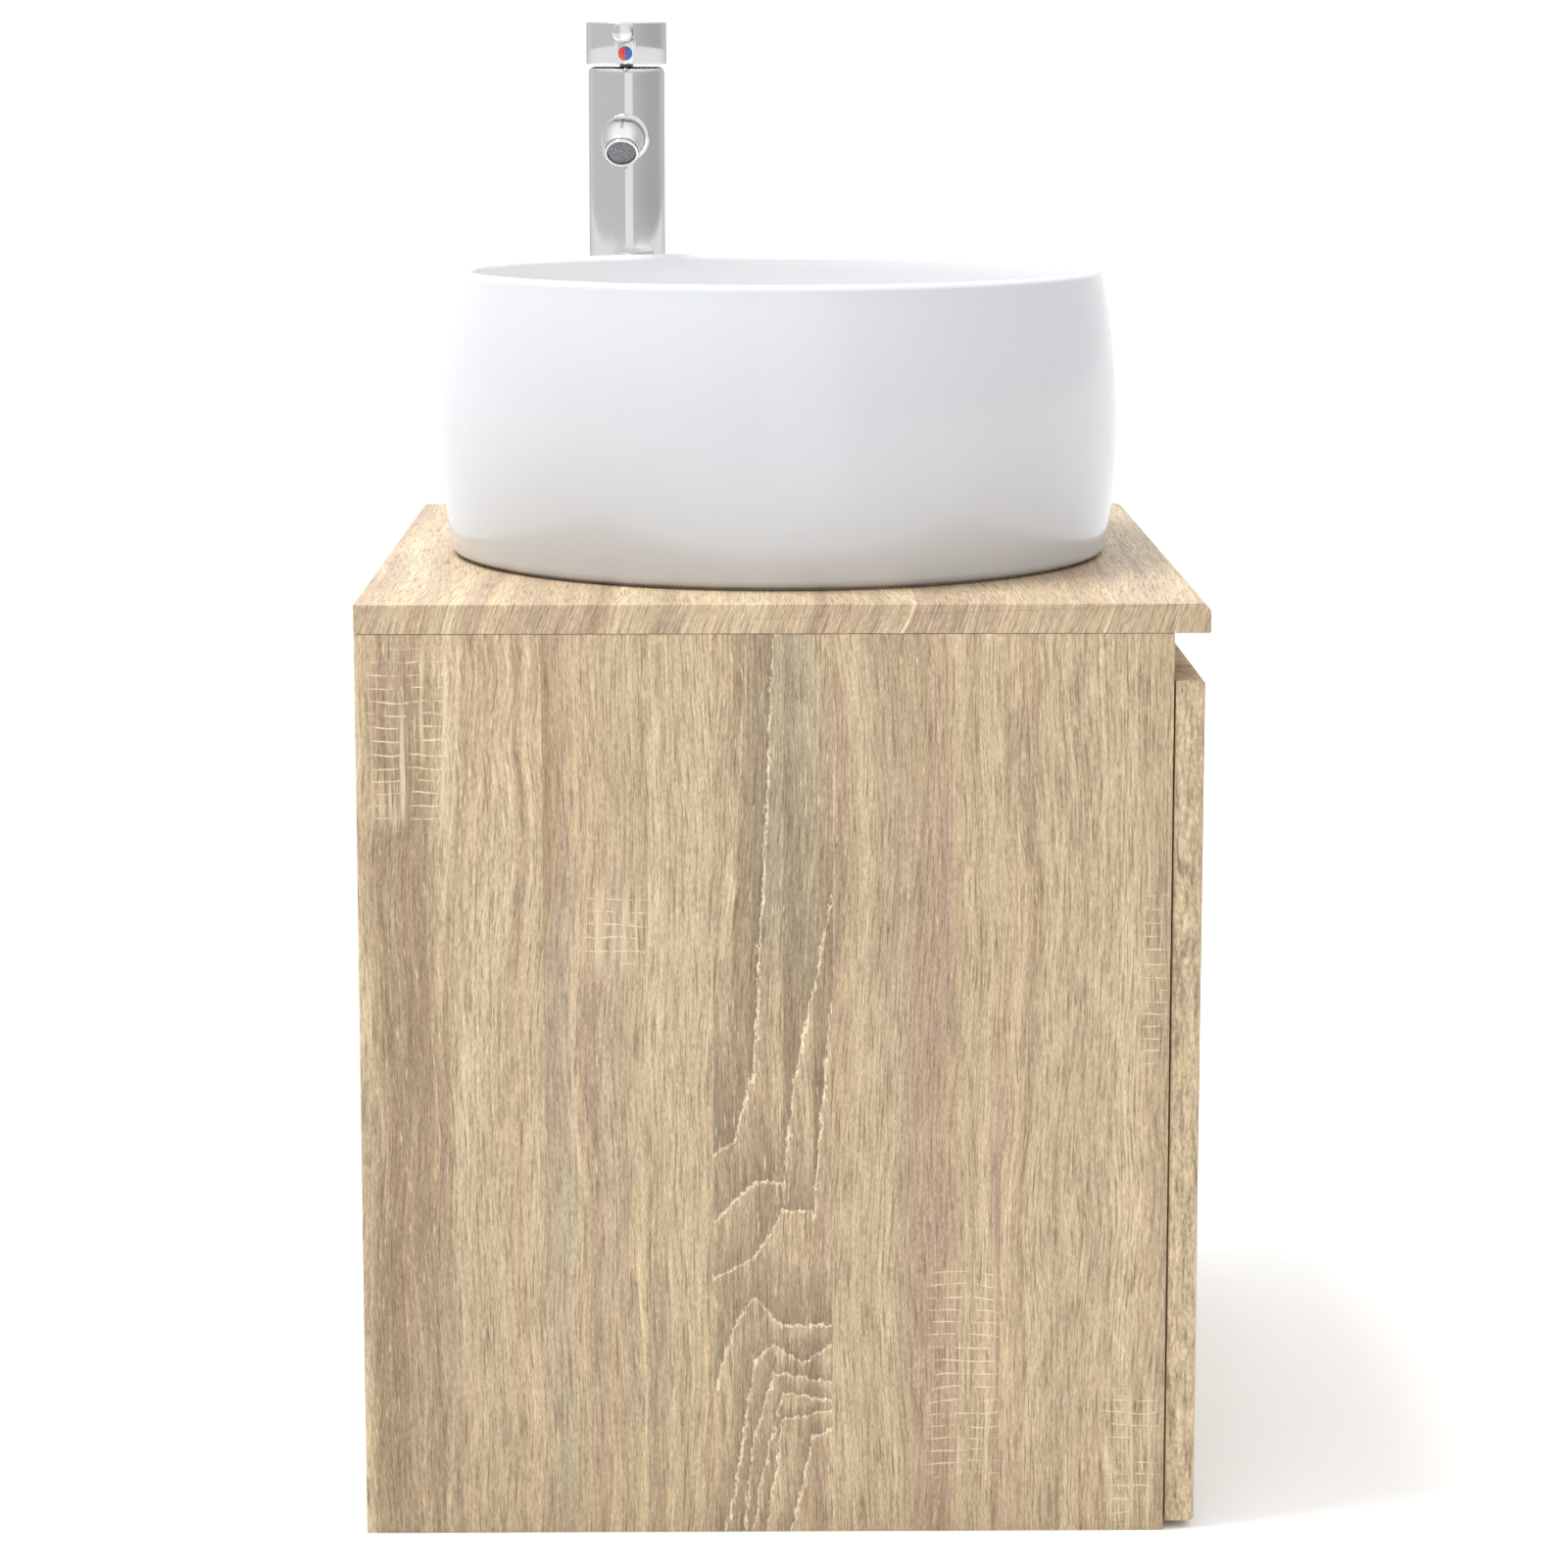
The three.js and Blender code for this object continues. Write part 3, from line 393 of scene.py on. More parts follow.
def flameGroup():
    tree, takes, gives = newGroup("flame", ("across", "along", "wobble"), ("shade", "line"))
    shade = 1.0
    line = 0.0
    edges = [edgeGroup(f"flameEdge{i}", points, fade)
             for i, (points, fade) in enumerate(zip(flameEdges, flameFade))]
    for edge in reversed(edges):
        found = useGroup(tree, edge, takes["across"], takes["along"], takes["wobble"])
        choose = addNode(tree, "ShaderNodeMix", data_type="FLOAT")
        fill(tree, choose.inputs[0], found["above"])
        fill(tree, choose.inputs[2], shade)
        fill(tree, choose.inputs[3], found["fall"])
        shade = choose.outputs[0]
        line = mathOf(tree, "MAXIMUM", found["line"], line)
    wire(tree, shade, gives["shade"])
    wire(tree, line, gives["line"])
    return tree


def boxGroup():
    # one inside a soft-edged box across and along the grain, nothing outside it
    words = ("across", "along", "low", "high", "bottom", "top", "acrossBlur", "alongBlur")
    tree, takes, gives = newGroup("softBox", words, ("inside",))

    def rise(value, edge, blur):
        start = mathOf(tree, "SUBTRACT", edge, blur)
        share = mathOf(tree, "DIVIDE", mathOf(tree, "SUBTRACT", value, start), blur)
        node = addNode(tree, "ShaderNodeMapRange", interpolation_type="SMOOTHSTEP")
        node.inputs["From Max"].default_value = 2
        wire(tree, share, node.inputs["Value"])
        return node.outputs["Result"]

    parts = []
    for value, low, high, blur in (("across", "low", "high", "acrossBlur"),
                                   ("along", "bottom", "top", "alongBlur")):
        parts.append(rise(takes[value], takes[low], takes[blur]))
        past = rise(takes[value], takes[high], takes[blur])
        parts.append(mathOf(tree, "SUBTRACT", 1, past))
    wire(tree, productOf(tree, *parts), gives["inside"])
    return tree


flame = flameGroup()
softBox = boxGroup()


def oakMaterial(name, across, along, planks, flames=(), tints=(), sawMarks=(), swirls=(), seed=0.0,
                fold=None, dull=(0.68, 0.54), shine=0.3):
    # across and along are axis numbers; planks are (start, seed, tone), flames and swirls
    # places across and along, tints and saw marks boxes (low, high, bottom, top); fold lets
    # the grain run on over the edges, as (across, along) shares of the depth
    material, tree = newMaterial(name)
    coords = addNode(tree, "ShaderNodeTexCoord")
    split = addNode(tree, "ShaderNodeSeparateXYZ")
    wire(tree, coords.outputs["Object"], split.inputs[0])
    acrossAt = split.outputs[across]
    alongAt = split.outputs[along]
    depthAt = split.outputs[3 - across - along]
    depthShare = 0.4
    if fold:
        acrossAt = mathOf(tree, "ADD", acrossAt, mathOf(tree, "MULTIPLY", depthAt, fold[0]))
        alongAt = mathOf(tree, "ADD", alongAt, mathOf(tree, "MULTIPLY", depthAt, fold[1]))
        depthShare = 0.0

    # every plank gets its own seed and tone from its place across the board; on the top board the tones
    # also hold painted light and a painted shadow
    first, last = planks[0][0], planks[-1][0] + 0.12
    span = last - first
    share = mathOf(tree, "DIVIDE", mathOf(tree, "SUBTRACT", acrossAt, first), span)
    seeds = rampOf(tree, share, [((p[0] - first) / span, p[1]) for p in planks], "CONSTANT")
    plankTonesAndPaintedLight = rampOf(tree, share, [((p[0] - first) / span, p[2]) for p in planks], "CONSTANT")
    seedAt = mathOf(tree, "MULTIPLY", seeds, 9.7)

    def grain(acrossScale, alongScale, detail, roughness, seedShift, sideways=acrossAt, bend=0):
        joint = addNode(tree, "ShaderNodeCombineXYZ")
        wire(tree, mathOf(tree, "MULTIPLY", sideways, acrossScale), joint.inputs[0])
        wire(tree, mathOf(tree, "MULTIPLY", alongAt, alongScale), joint.inputs[1])
        depth = mathOf(tree, "MULTIPLY", depthAt, acrossScale * depthShare)
        offset = mathOf(tree, "ADD", seedAt, seed + seedShift)
        wire(tree, mathOf(tree, "ADD", depth, offset), joint.inputs[2])
        return noiseAt(tree, joint.outputs[0], 1, detail, roughness, bend)

    def boxAt(low, high, bottom, top, acrossBlur, alongBlur, place=acrossAt):
        return useGroup(tree, softBox, place, alongAt, low, high, bottom, top, acrossBlur,
            alongBlur)["inside"]

    # the grain wanders from side to side, and its pores lean round a knot
    wander = mathOf(tree, "MULTIPLY", mathOf(tree, "SUBTRACT", grain(8, 4, 2, 0.5, 0), 0.5), 0.03)
    sideways = mathOf(tree, "ADD", acrossAt, wander)
    leaning = sideways
    for swirlAcross, swirlAlong, radius, lean in swirls:
        near = boxAt(swirlAcross - radius, swirlAcross + radius, swirlAlong - radius,
            swirlAlong + radius, radius * 0.6, radius * 0.6)
        push = productOf(tree, mathOf(tree, "SUBTRACT", alongAt, swirlAlong), near, lean)
        leaning = mathOf(tree, "ADD", leaning, push)

    # broad bands, finer streaks and cloudy patches
    broad = grain(34, 0.7, 2, 0.55, 2, sideways, 0.2)
    colour = rampOf(tree, broad, [(0.3, oak["dark"]), (0.4, oak["rosy"]), (0.46, oak["middle"]),
        (0.54, oak["light"]), (0.62, oak["middle"]), (0.66, oak["rosy"]), (0.74, oak["light"])])
    hue = rampOf(tree, grain(38, 1.2, 2, 0.5, 4, sideways), [(0.5, 0.0), (0.58, 1.0)])
    colour = mixOf(tree, mathOf(tree, "MULTIPLY", hue, 0.3), colour, oak["green"])
    streaks = rampOf(tree, grain(170, 2.4, 3, 0.6, 6, sideways),
        [(0.32, 0.89), (0.5, 0.99), (0.7, 1.08)])
    colour = mixOf(tree, 1.0, colour, streaks, "MULTIPLY")
    clouds = rampOf(tree, grain(60, 16, 3, 0.6, 8, sideways), [(0.3, 0.94), (0.7, 1.05)])
    colour = mixOf(tree, 1.0, colour, clouds, "MULTIPLY")

    # year lines: pale on one side, a soft dark fall on the other
    field = mathOf(tree, "MULTIPLY", grain(21, 1.0, 2, 0.45, 10, sideways, 0.15), oak["lineCount"])
    phase = mathOf(tree, "FRACT", field)
    lineShare = rampOf(tree, grain(15, 2.0, 2, 0.5, 12), [(0.44, 0.0), (0.56, 1.0)])
    lineTone = rampOf(tree, phase, [(0.0, 1.0), (0.04, 1.16), (0.12, 1.16), (0.17, 0.84), (0.75, 1.0)])
    lined = mixOf(tree, 1.0, colour, lineTone, "MULTIPLY")
    colour = mixOf(tree, mathOf(tree, "MULTIPLY", lineShare, 0.85), colour, lined)
    # plank tones, which on the top board are painted light and painted shadow
    colour = mixOf(tree, 1.0, colour, plankTonesAndPaintedLight, "MULTIPLY")

    # soft local tints
    for low, high, bottom, top, tint, amount in tints:
        patch = mathOf(tree, "MULTIPLY", boxAt(low, high, bottom, top, 0.004, 0.03, sideways), amount)
        colour = mixOf(tree, patch, colour, tint)

    # flame figures: dark above each edge, cream along it
    for flameAcross, flameAlong, flip in flames:
        place = mathOf(tree, "MULTIPLY", mathOf(tree, "SUBTRACT", acrossAt, flameAcross), flip)
        height = mathOf(tree, "SUBTRACT", alongAt, flameAlong)
        rough = mathOf(tree, "MULTIPLY",
            mathOf(tree, "SUBTRACT", grain(300, 180, 3, 0.7, 14), 0.5), 7 * mm)
        inPlank = productOf(tree, mathOf(tree, "GREATER_THAN", place, -25 * mm),
            mathOf(tree, "LESS_THAN", place, 35 * mm))
        figure = useGroup(tree, flame, place, height, rough)
        shaded = mixOf(tree, 1.0, colour, figure["shade"], "MULTIPLY")
        broken = rampOf(tree, grain(260, 200, 2, 0.6, 16), [(0.38, 0.25), (0.56, 0.8)])
        shaded = mixOf(tree, productOf(tree, figure["line"], broken), shaded, oak["cream"])
        colour = mixOf(tree, inPlank, colour, shaded)

    # pores, long and fine, and the finest fibres
    poreNoise = grain(oak["poreAcross"], oak["poreAlong"], 3, 0.75, 18, leaning, 0.2)
    pale = rampOf(tree, poreNoise, [(0.42, 0.97), (0.5, 1.0), (0.58, 1.1), (0.68, 1.3)])
    colour = mixOf(tree, 1.0, colour, pale, "MULTIPLY")
    pores = rampOf(tree, poreNoise, [(0.34, 0.72), (0.41, 0.34), (0.49, 0.0)])
    colour = mixOf(tree, pores, colour, oak["deep"])
    fibres = rampOf(tree, grain(oak["fineAcross"], oak["fineAlong"], 2, 0.6, 20, leaning),
        [(0.3, 0.74), (0.5, 1.0), (0.7, 1.24)])
    colour = mixOf(tree, 1.0, colour, fibres, "MULTIPLY")
    flecks = rampOf(tree, grain(700, 70, 2, 0.6, 22, leaning), [(0.64, 0.0), (0.74, 0.6)])
    colour = mixOf(tree, flecks, colour, oak["cream"])

    # rough-sawn patches: broken pale lines across the grain, and a few along it
    if sawMarks:
        drift = mathOf(tree, "MULTIPLY", grain(30, 26, 2, 0.5, 24), 9 * mm)
        tooth = mathOf(tree, "FRACT",
            mathOf(tree, "DIVIDE", mathOf(tree, "ADD", alongAt, drift), oak["sawPitch"]))
        line = rampOf(tree, tooth, [(0.0, 0.0), (0.03, 1.0), (0.1, 1.0), (0.14, 0.0)])
        broken = rampOf(tree, grain(110, 60, 3, 0.6, 26), [(0.42, 0.0), (0.55, 0.78)])
        upright = rampOf(tree, grain(260, 9, 2, 0.5, 28), [(0.55, 0.0), (0.64, 0.5)])
        marks = mathOf(tree, "MAXIMUM", mathOf(tree, "MULTIPLY", line, broken), upright)
        patches = 0.0
        for low, high, bottom, top in sawMarks:
            patches = mathOf(tree, "MAXIMUM", boxAt(low, high, bottom, top, 5 * mm, 9 * mm), patches)
        colour = mixOf(tree, mathOf(tree, "MULTIPLY", marks, patches), colour, oak["cream"])

    wire(tree, colour, shaderOf(tree).inputs["Base Color"])
    wire(tree, rampOf(tree, poreNoise, [(0.3, dull[0]), (0.7, dull[1])]),
        shaderOf(tree).inputs["Roughness"])
    bumpFrom(tree, poreNoise, 0.3, 0.12 * mm)
    setShader(tree, Specular_IOR_Level=shine)
    return material


acrossX, acrossY, alongZ, alongX, alongY = 0, 1, 2, 0, 1

nearPanelOak = oakMaterial(
    "nearPanelOak", acrossY, alongZ,
    planks=[(-0.215, 0.15, 0.99), (-0.112, 0.62, 1.02), (-0.025, 0.35, 0.97), (0.035, 0.81, 1.02),
            (0.119, 0.48, 0.99)],
    flames=[(0, 0, 1)],
    tints=[(-0.014, 0.012, 0.3, 0.47, oak["grey"], 0.5), (0.105, 0.117, 0.0, 0.33, oak["grey"], 0.5),
           (0.172, 0.206, 0.0, 0.46, oak["deep"], 0.42)],
    sawMarks=[(0.168, 0.205, 0.37, 0.455), (-0.192, -0.182, 0.24, 0.335), (-0.11, -0.075, 0.03, 0.14),
              (-0.19, -0.165, 0.005, 0.075), (0.067, 0.098, 0.295, 0.335)],
    swirls=[(0.148, 0.428, 0.022, 0.13)])
farPanelOak = oakMaterial(
    "farPanelOak", acrossY, alongZ,
    planks=[(-0.215, 0.55, 1.0), (-0.13, 0.22, 0.97), (-0.04, 0.7, 1.02), (0.055, 0.4, 0.98),
            (0.115, 0.9, 1.01)],
    flames=[(0.08, 0.09, 1)],
    tints=[(-0.09, -0.06, 0.1, 0.3, oak["grey"], 0.4)],
    sawMarks=[(-0.12, -0.07, 0.3, 0.42), (0.14, 0.18, 0.05, 0.16)],
    swirls=[(-0.02, 0.12, 0.022, -0.4)], seed=40)
frontOak = oakMaterial(
    "frontOak", acrossX, alongZ,
    planks=[(-0.23, 0.33, 1.0), (-0.15, 0.77, 0.97), (-0.055, 0.12, 1.02), (0.025, 0.58, 0.96),
            (0.085, 0.86, 1.02), (0.17, 0.44, 0.98)],
    flames=[(0.06, 0.06, -1)],
    tints=[(-0.13, -0.1, 0.1, 0.4, oak["grey"], 0.4)],
    sawMarks=[(-0.2, -0.155, 0.05, 0.16), (-0.05, 0.0, 0.33, 0.42), (0.1, 0.15, 0.2, 0.3)],
    swirls=[(-0.19, 0.35, 0.022, 0.4)], seed=80)
# top board tones: 1.1 on the planks towards +Y is painted light from the key, 0.9 on the plank towards
# -Y is the basin's painted shadow
topOak = oakMaterial(
    "topOak", acrossY, alongX,
    planks=[(-0.22, 0.6, 0.9), (-0.1, 0.25, 1.02), (0.0, 0.84, 1.1), (0.1, 0.42, 1.1)],
    sawMarks=[(0.12, 0.17, -0.68, -0.58)], seed=120, fold=(0.35, -1.0),
    dull=(0.5, 0.4), shine=0.4)
innerOak = oakMaterial(
    "innerOak", alongZ, alongX,
    planks=[(0.0, 0.3, 0.98), (0.09, 0.66, 1.0), (0.2, 0.5, 0.97), (0.34, 0.8, 1.0)], seed=160)
drawerSideOak = oakMaterial(
    "drawerSideOak", alongZ, alongY,
    planks=[(0.05, 0.4, 0.98), (0.12, 0.9, 1.0), (0.18, 0.2, 0.97)], seed=200)
print("oak ready")


glaze = {
    # one white glaze in two colours: painted lighter inside the bowl and darker on the outer wall, as
    # painted light and shade
    "outside": (paint(199, 201, 205), paint(203, 205, 209)),
    "inside": (paint(224, 225, 227), paint(228, 229, 230)),
    "bellyRadius": 181 * mm,
    "bellyHeight": 550 * mm,
    "wallCurve": 760 * mm,
}


def ceramicMaterial():
    # the inside of the bowl is painted lighter and the outer wall darker: painted light and painted
    # shade on one white glaze
    material, tree = newMaterial("glazedCeramic")
    place = placeAt(tree)
    split = addNode(tree, "ShaderNodeSeparateXYZ")
    wire(tree, place, split.inputs[0])
    squares = [productOf(tree, split.outputs[i], split.outputs[i]) for i in (0, 1)]
    radius = mathOf(tree, "SQRT", mathOf(tree, "ADD", *squares))
    rise = mathOf(tree, "SUBTRACT", split.outputs[2], glaze["bellyHeight"])
    drawnIn = mathOf(tree, "DIVIDE", productOf(tree, rise, rise), glaze["wallCurve"])
    past = mathOf(tree, "ADD", mathOf(tree, "SUBTRACT", radius, glaze["bellyRadius"]), drawnIn)
    # share of the outer wall, which takes the darker painted shade
    outer = softStep(tree, past, 0, 3 * mm)
    cloud = rampOf(tree, noiseAt(tree, place, 7, 3, 0.5), [(0.3, 0.0), (0.7, 1.0)])
    inside = mixOf(tree, cloud, *glaze["inside"])
    outside = mixOf(tree, cloud, *glaze["outside"])
    wire(tree, mixOf(tree, outer, inside, outside), shaderOf(tree).inputs["Base Color"])
    wire(tree, rampOf(tree, noiseAt(tree, place, 60, 2, 0.5), [(0.3, 0.16), (0.7, 0.22)]),
        shaderOf(tree).inputs["Roughness"])
    bumpFrom(tree, noiseAt(tree, place, 45, 2, 0.5), 0.05, 0.2 * mm)
    setShader(tree, Coat_Weight=0.35, Coat_Roughness=0.06, Specular_IOR_Level=0.5)
    return material


def metalMaterial(name, colour, dull, shine, brushed=None, edge=(1, 1, 1, 1)):
    material, tree = newMaterial(name)
    place = placeAt(tree, brushed or (1, 1, 1))
    grain = noiseAt(tree, place, 120 if brushed is None else 1, 3, 0.6)
    wire(tree, rampOf(tree, grain, [(0.3, shine), (0.7, dull)]), shaderOf(tree).inputs["Roughness"])
    film = noiseAt(tree, placeAt(tree), 25, 2, 0.5)
    wire(tree, mixOf(tree, rampOf(tree, film, [(0.4, 0.0), (0.65, 0.5)]), colour,
        tuple(part * 0.93 for part in colour[:3]) + (1,)), shaderOf(tree).inputs["Base Color"])
    setShader(tree, Metallic=1, Specular_Tint=edge)
    bumpFrom(tree, grain, 0.02 if brushed is None else 0.12, 0.05 * mm)
    return material


def plasticMaterial(name, colour, rough, mottle=0.06):
    material, tree = newMaterial(name)
    place = placeAt(tree)
    speck = noiseAt(tree, place, 260, 3, 0.6)
    darker = tuple(part * (1 - mottle) for part in colour[:3]) + (1,)
    wire(tree, mixOf(tree, rampOf(tree, speck, [(0.4, 0.0), (0.6, 1.0)]), colour, darker),
        shaderOf(tree).inputs["Base Color"])
    wire(tree, rampOf(tree, noiseAt(tree, place, 40, 2, 0.5), [(0.3, rough * 0.85), (0.7, rough)]),
        shaderOf(tree).inputs["Roughness"])
    bumpFrom(tree, speck, 0.08, 0.05 * mm)
    return material


def dotMaterial(middleY):
    material, tree = newMaterial("redAndBlue")
    coords = addNode(tree, "ShaderNodeTexCoord")
    split = addNode(tree, "ShaderNodeSeparateXYZ")
    wire(tree, coords.outputs["Object"], split.inputs[0])
    half = mathOf(tree, "GREATER_THAN", split.outputs[1], middleY)
    colour = mixOf(tree, half, paint(38, 98, 190), paint(222, 62, 40))
    speck = rampOf(tree, noiseAt(tree, coords.outputs["Object"], 900, 2, 0.5), [(0.3, 0.93), (0.7, 1.0)])
    wire(tree, mixOf(tree, 1.0, colour, speck, "MULTIPLY"), shaderOf(tree).inputs["Base Color"])
    setShader(tree, Roughness=0.25, Coat_Weight=0.5)
    return material


ceramic = ceramicMaterial()
chrome = metalMaterial("chromePlate", (0.69, 0.692, 0.698, 1), 0.075, 0.05,
    edge=(0.6, 0.6, 0.61, 1))
zincSteel = metalMaterial("zincSteel", (0.5, 0.51, 0.53, 1), 0.42, 0.3, (400, 18, 400))
brass = metalMaterial("yellowBrass", (0.6, 0.44, 0.2, 1), 0.32, 0.22)
blackRubber = plasticMaterial("blackRubber", paint(38, 38, 40), 0.8, 0.2)
silicone = plasticMaterial("clearSilicone", paint(214, 214, 210), 0.35, 0.04)
whitePlastic = plasticMaterial("whitePlastic", paint(226, 226, 222), 0.4)
greyPlastic = plasticMaterial("greyPlastic", paint(158, 159, 161), 0.5, 0.12)
print("other materials ready")


# the boards

def countertopPiece():
    sizes = {"frontRound": 5.5 * mm, "sideRound": 1.6 * mm, "underRound": 0.7 * mm,
             "wasteHole": 22.5 * mm, "tapHole": 16.5 * mm}
    low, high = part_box("countertop")
    low, high = Vector(low), Vector(high)
    near = 0.01 * mm
    board = boardBetween(low, high)
    bevelWhere(board, lambda p: p.y < low.y + near and p.z > high.z - near, sizes["frontRound"], 6)
    bevelWhere(board, lambda p: abs(p.x) > high.x - near and p.z > high.z - near,
        sizes["sideRound"], 3)
    bevelWhere(board, lambda p: p.z < low.z + near, sizes["underRound"], 2)
    pillarLow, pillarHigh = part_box("tap_pillar")
    tapAt = ((pillarLow[0] + pillarHigh[0]) / 2, (pillarLow[1] + pillarHigh[1]) / 2)
    depth = 3 * (high.z - low.z)
    cutWith(board, drillFor(sizes["wasteHole"], (0, 0, low.z - depth / 3), up, depth))
    cutWith(board, drillFor(sizes["tapHole"], (*tapAt, low.z - depth / 3), up, depth))
    finishPiece(board, "top_board", "cabinet", topOak, 30, ["countertop"])


def edgedBoard(name, node, body, material, rounding, frontRounding=None):
    low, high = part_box(node)
    low, high = Vector(low), Vector(high)
    near = 0.01 * mm
    board = boardBetween(low, high)
    if frontRounding:
        bevelWhere(board, lambda p: p.y < low.y + near and abs(p.x) > high.x - near,
            frontRounding, 5)
    useOnly(board)
    step = board.modifiers.new("soft edges", "BEVEL")
    step.width = rounding
    step.segments = 2
    step.limit_method = "ANGLE"
    step.angle_limit = math.radians(40)
    bpy.ops.object.modifier_apply(modifier=step.name)
    finishPiece(board, name, body, material, 30, [node])


countertopPiece()
edgedBoard("near_side_board", "side_panel_left", "cabinet", nearPanelOak, 0.6 * mm)
edgedBoard("far_side_board", "side_panel_right", "cabinet", farPanelOak, 0.6 * mm)
edgedBoard("drawer_front_board", "drawer_front", "drawer", frontOak, 0.6 * mm, 2.5 * mm)
print("boards ready")


# the basin, spun from its wall's outline

basinSizes = {
    "bellyRadius": 185.5 * mm,
    "bellyHeight": 69 * mm,
    "wallCurve": 380 * mm,
    "rimWall": 8 * mm,
    "footRound": 5 * mm,
    "footRing": 11 * mm,
    "filletRadius": 50 * mm,
    "bellyWall": 9.5 * mm,
    "floorHeight": 17 * mm,
    "floorSlope": 0.07,
    "floorThick": 11 * mm,
    "hubRadius": 45 * mm,
    "recessRadius": 33 * mm,
    "recessDepth": 4.5 * mm,
    "holeRadius": 22.5 * mm,
    "turns": 144,
}


def basinWall(height):
    rise = height - basinSizes["bellyHeight"]
    curve = basinSizes["wallCurve"]
    return basinSizes["bellyRadius"] - curve + math.sqrt(curve ** 2 - rise ** 2)


def arcPoints(centre, radius, start, end, steps):
    for i in range(steps + 1):
        angle = start + (end - start) * i / steps
        yield (centre[0] + radius * math.cos(angle), centre[1] + radius * math.sin(angle))


def basinPiece():
    sizes = basinSizes
    low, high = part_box("basin")
    tall = high[2] - low[2]
    quarter = math.pi / 2
    lip = sizes["rimWall"] / 2
    rimHeight = tall - lip
    footRadius = basinWall(sizes["footRound"]) - sizes["footRound"]
    footInner = footRadius - sizes["footRing"]
    filletCentre = basinWall(sizes["bellyHeight"]) - sizes["bellyWall"] - sizes["filletRadius"]

    def floorAt(radius):
        return sizes["floorHeight"] + (radius - sizes["recessRadius"]) * sizes["floorSlope"]

    filletHeight = floorAt(filletCentre) + sizes["filletRadius"]
    hollow = sizes["filletRadius"] + sizes["floorThick"]
    hollowEdge = math.acos((footInner - filletCentre) / hollow)
    seat = sizes["floorHeight"] - sizes["recessDepth"]
    outline = [
        (sizes["holeRadius"], 0),
        (sizes["hubRadius"], 0, 1 * mm),
        (sizes["hubRadius"], floorAt(sizes["hubRadius"]) - sizes["floorThick"], 1.5 * mm),
        *arcPoints((filletCentre, filletHeight), hollow, -quarter, -hollowEdge, 6),
        (footInner, 0, 2 * mm),
        *arcPoints((footRadius, sizes["footRound"]), sizes["footRound"], -quarter, 0, 6),
    ]
    steps = 22
    for i in range(1, steps):
        height = sizes["footRound"] + (rimHeight - sizes["footRound"]) * i / steps
        outline.append((basinWall(height), height))
    outline += arcPoints((basinWall(rimHeight) - lip, rimHeight), lip, 0, 2 * quarter, 12)
    for i in range(1, 10):
        height = rimHeight + (filletHeight - rimHeight) * i / 10
        thick = sizes["rimWall"] + (sizes["bellyWall"] - sizes["rimWall"]) * i / 10
        outline.append((basinWall(height) - thick, height))
    outline += arcPoints((filletCentre, filletHeight), sizes["filletRadius"], 0, -quarter, 16)
    outline += [
        (sizes["recessRadius"], sizes["floorHeight"], 1 * mm),
        (sizes["recessRadius"], seat, 0.6 * mm),
        (sizes["holeRadius"], seat),
    ]
    bowl = turnedPiece(outline, (0, 0, low[2]), steps=sizes["turns"])
    finishPiece(bowl, "basin_bowl", "cabinet", ceramic, 40, ["basin"])


basinPiece()
print("basin ready")


# the mixer

pillarLow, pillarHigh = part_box("tap_pillar")
tapX = (pillarLow[0] + pillarHigh[0]) / 2
tapY = (pillarLow[1] + pillarHigh[1]) / 2
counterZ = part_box("countertop")[1][2]


def pillarPiece():
    sizes = {"radius": 22.5 * mm, "round": 4 * mm, "seat": 18 * mm, "wall": 4 * mm, "recess": 20 * mm,
             "seatDepth": 54 * mm}
    tall = pillarHigh[2] - pillarLow[2]
    pillar = turnedPiece([
        (0, sizes["recess"]),
        (sizes["radius"] - sizes["wall"], sizes["recess"], 1 * mm),
        (sizes["radius"] - sizes["wall"], 0, 0.4 * mm),
        (sizes["radius"], 0, 0.4 * mm),
        (sizes["radius"], tall, sizes["round"]),
        (sizes["seat"], tall, 0.3 * mm),
        (sizes["seat"], tall - sizes["seatDepth"]),
        (0, tall - sizes["seatDepth"]),
    ], (tapX, tapY, pillarLow[2]), steps=96, closed=False)
    finishPiece(pillar, "tap_column", "cabinet", chrome, 35, ["tap_pillar"])


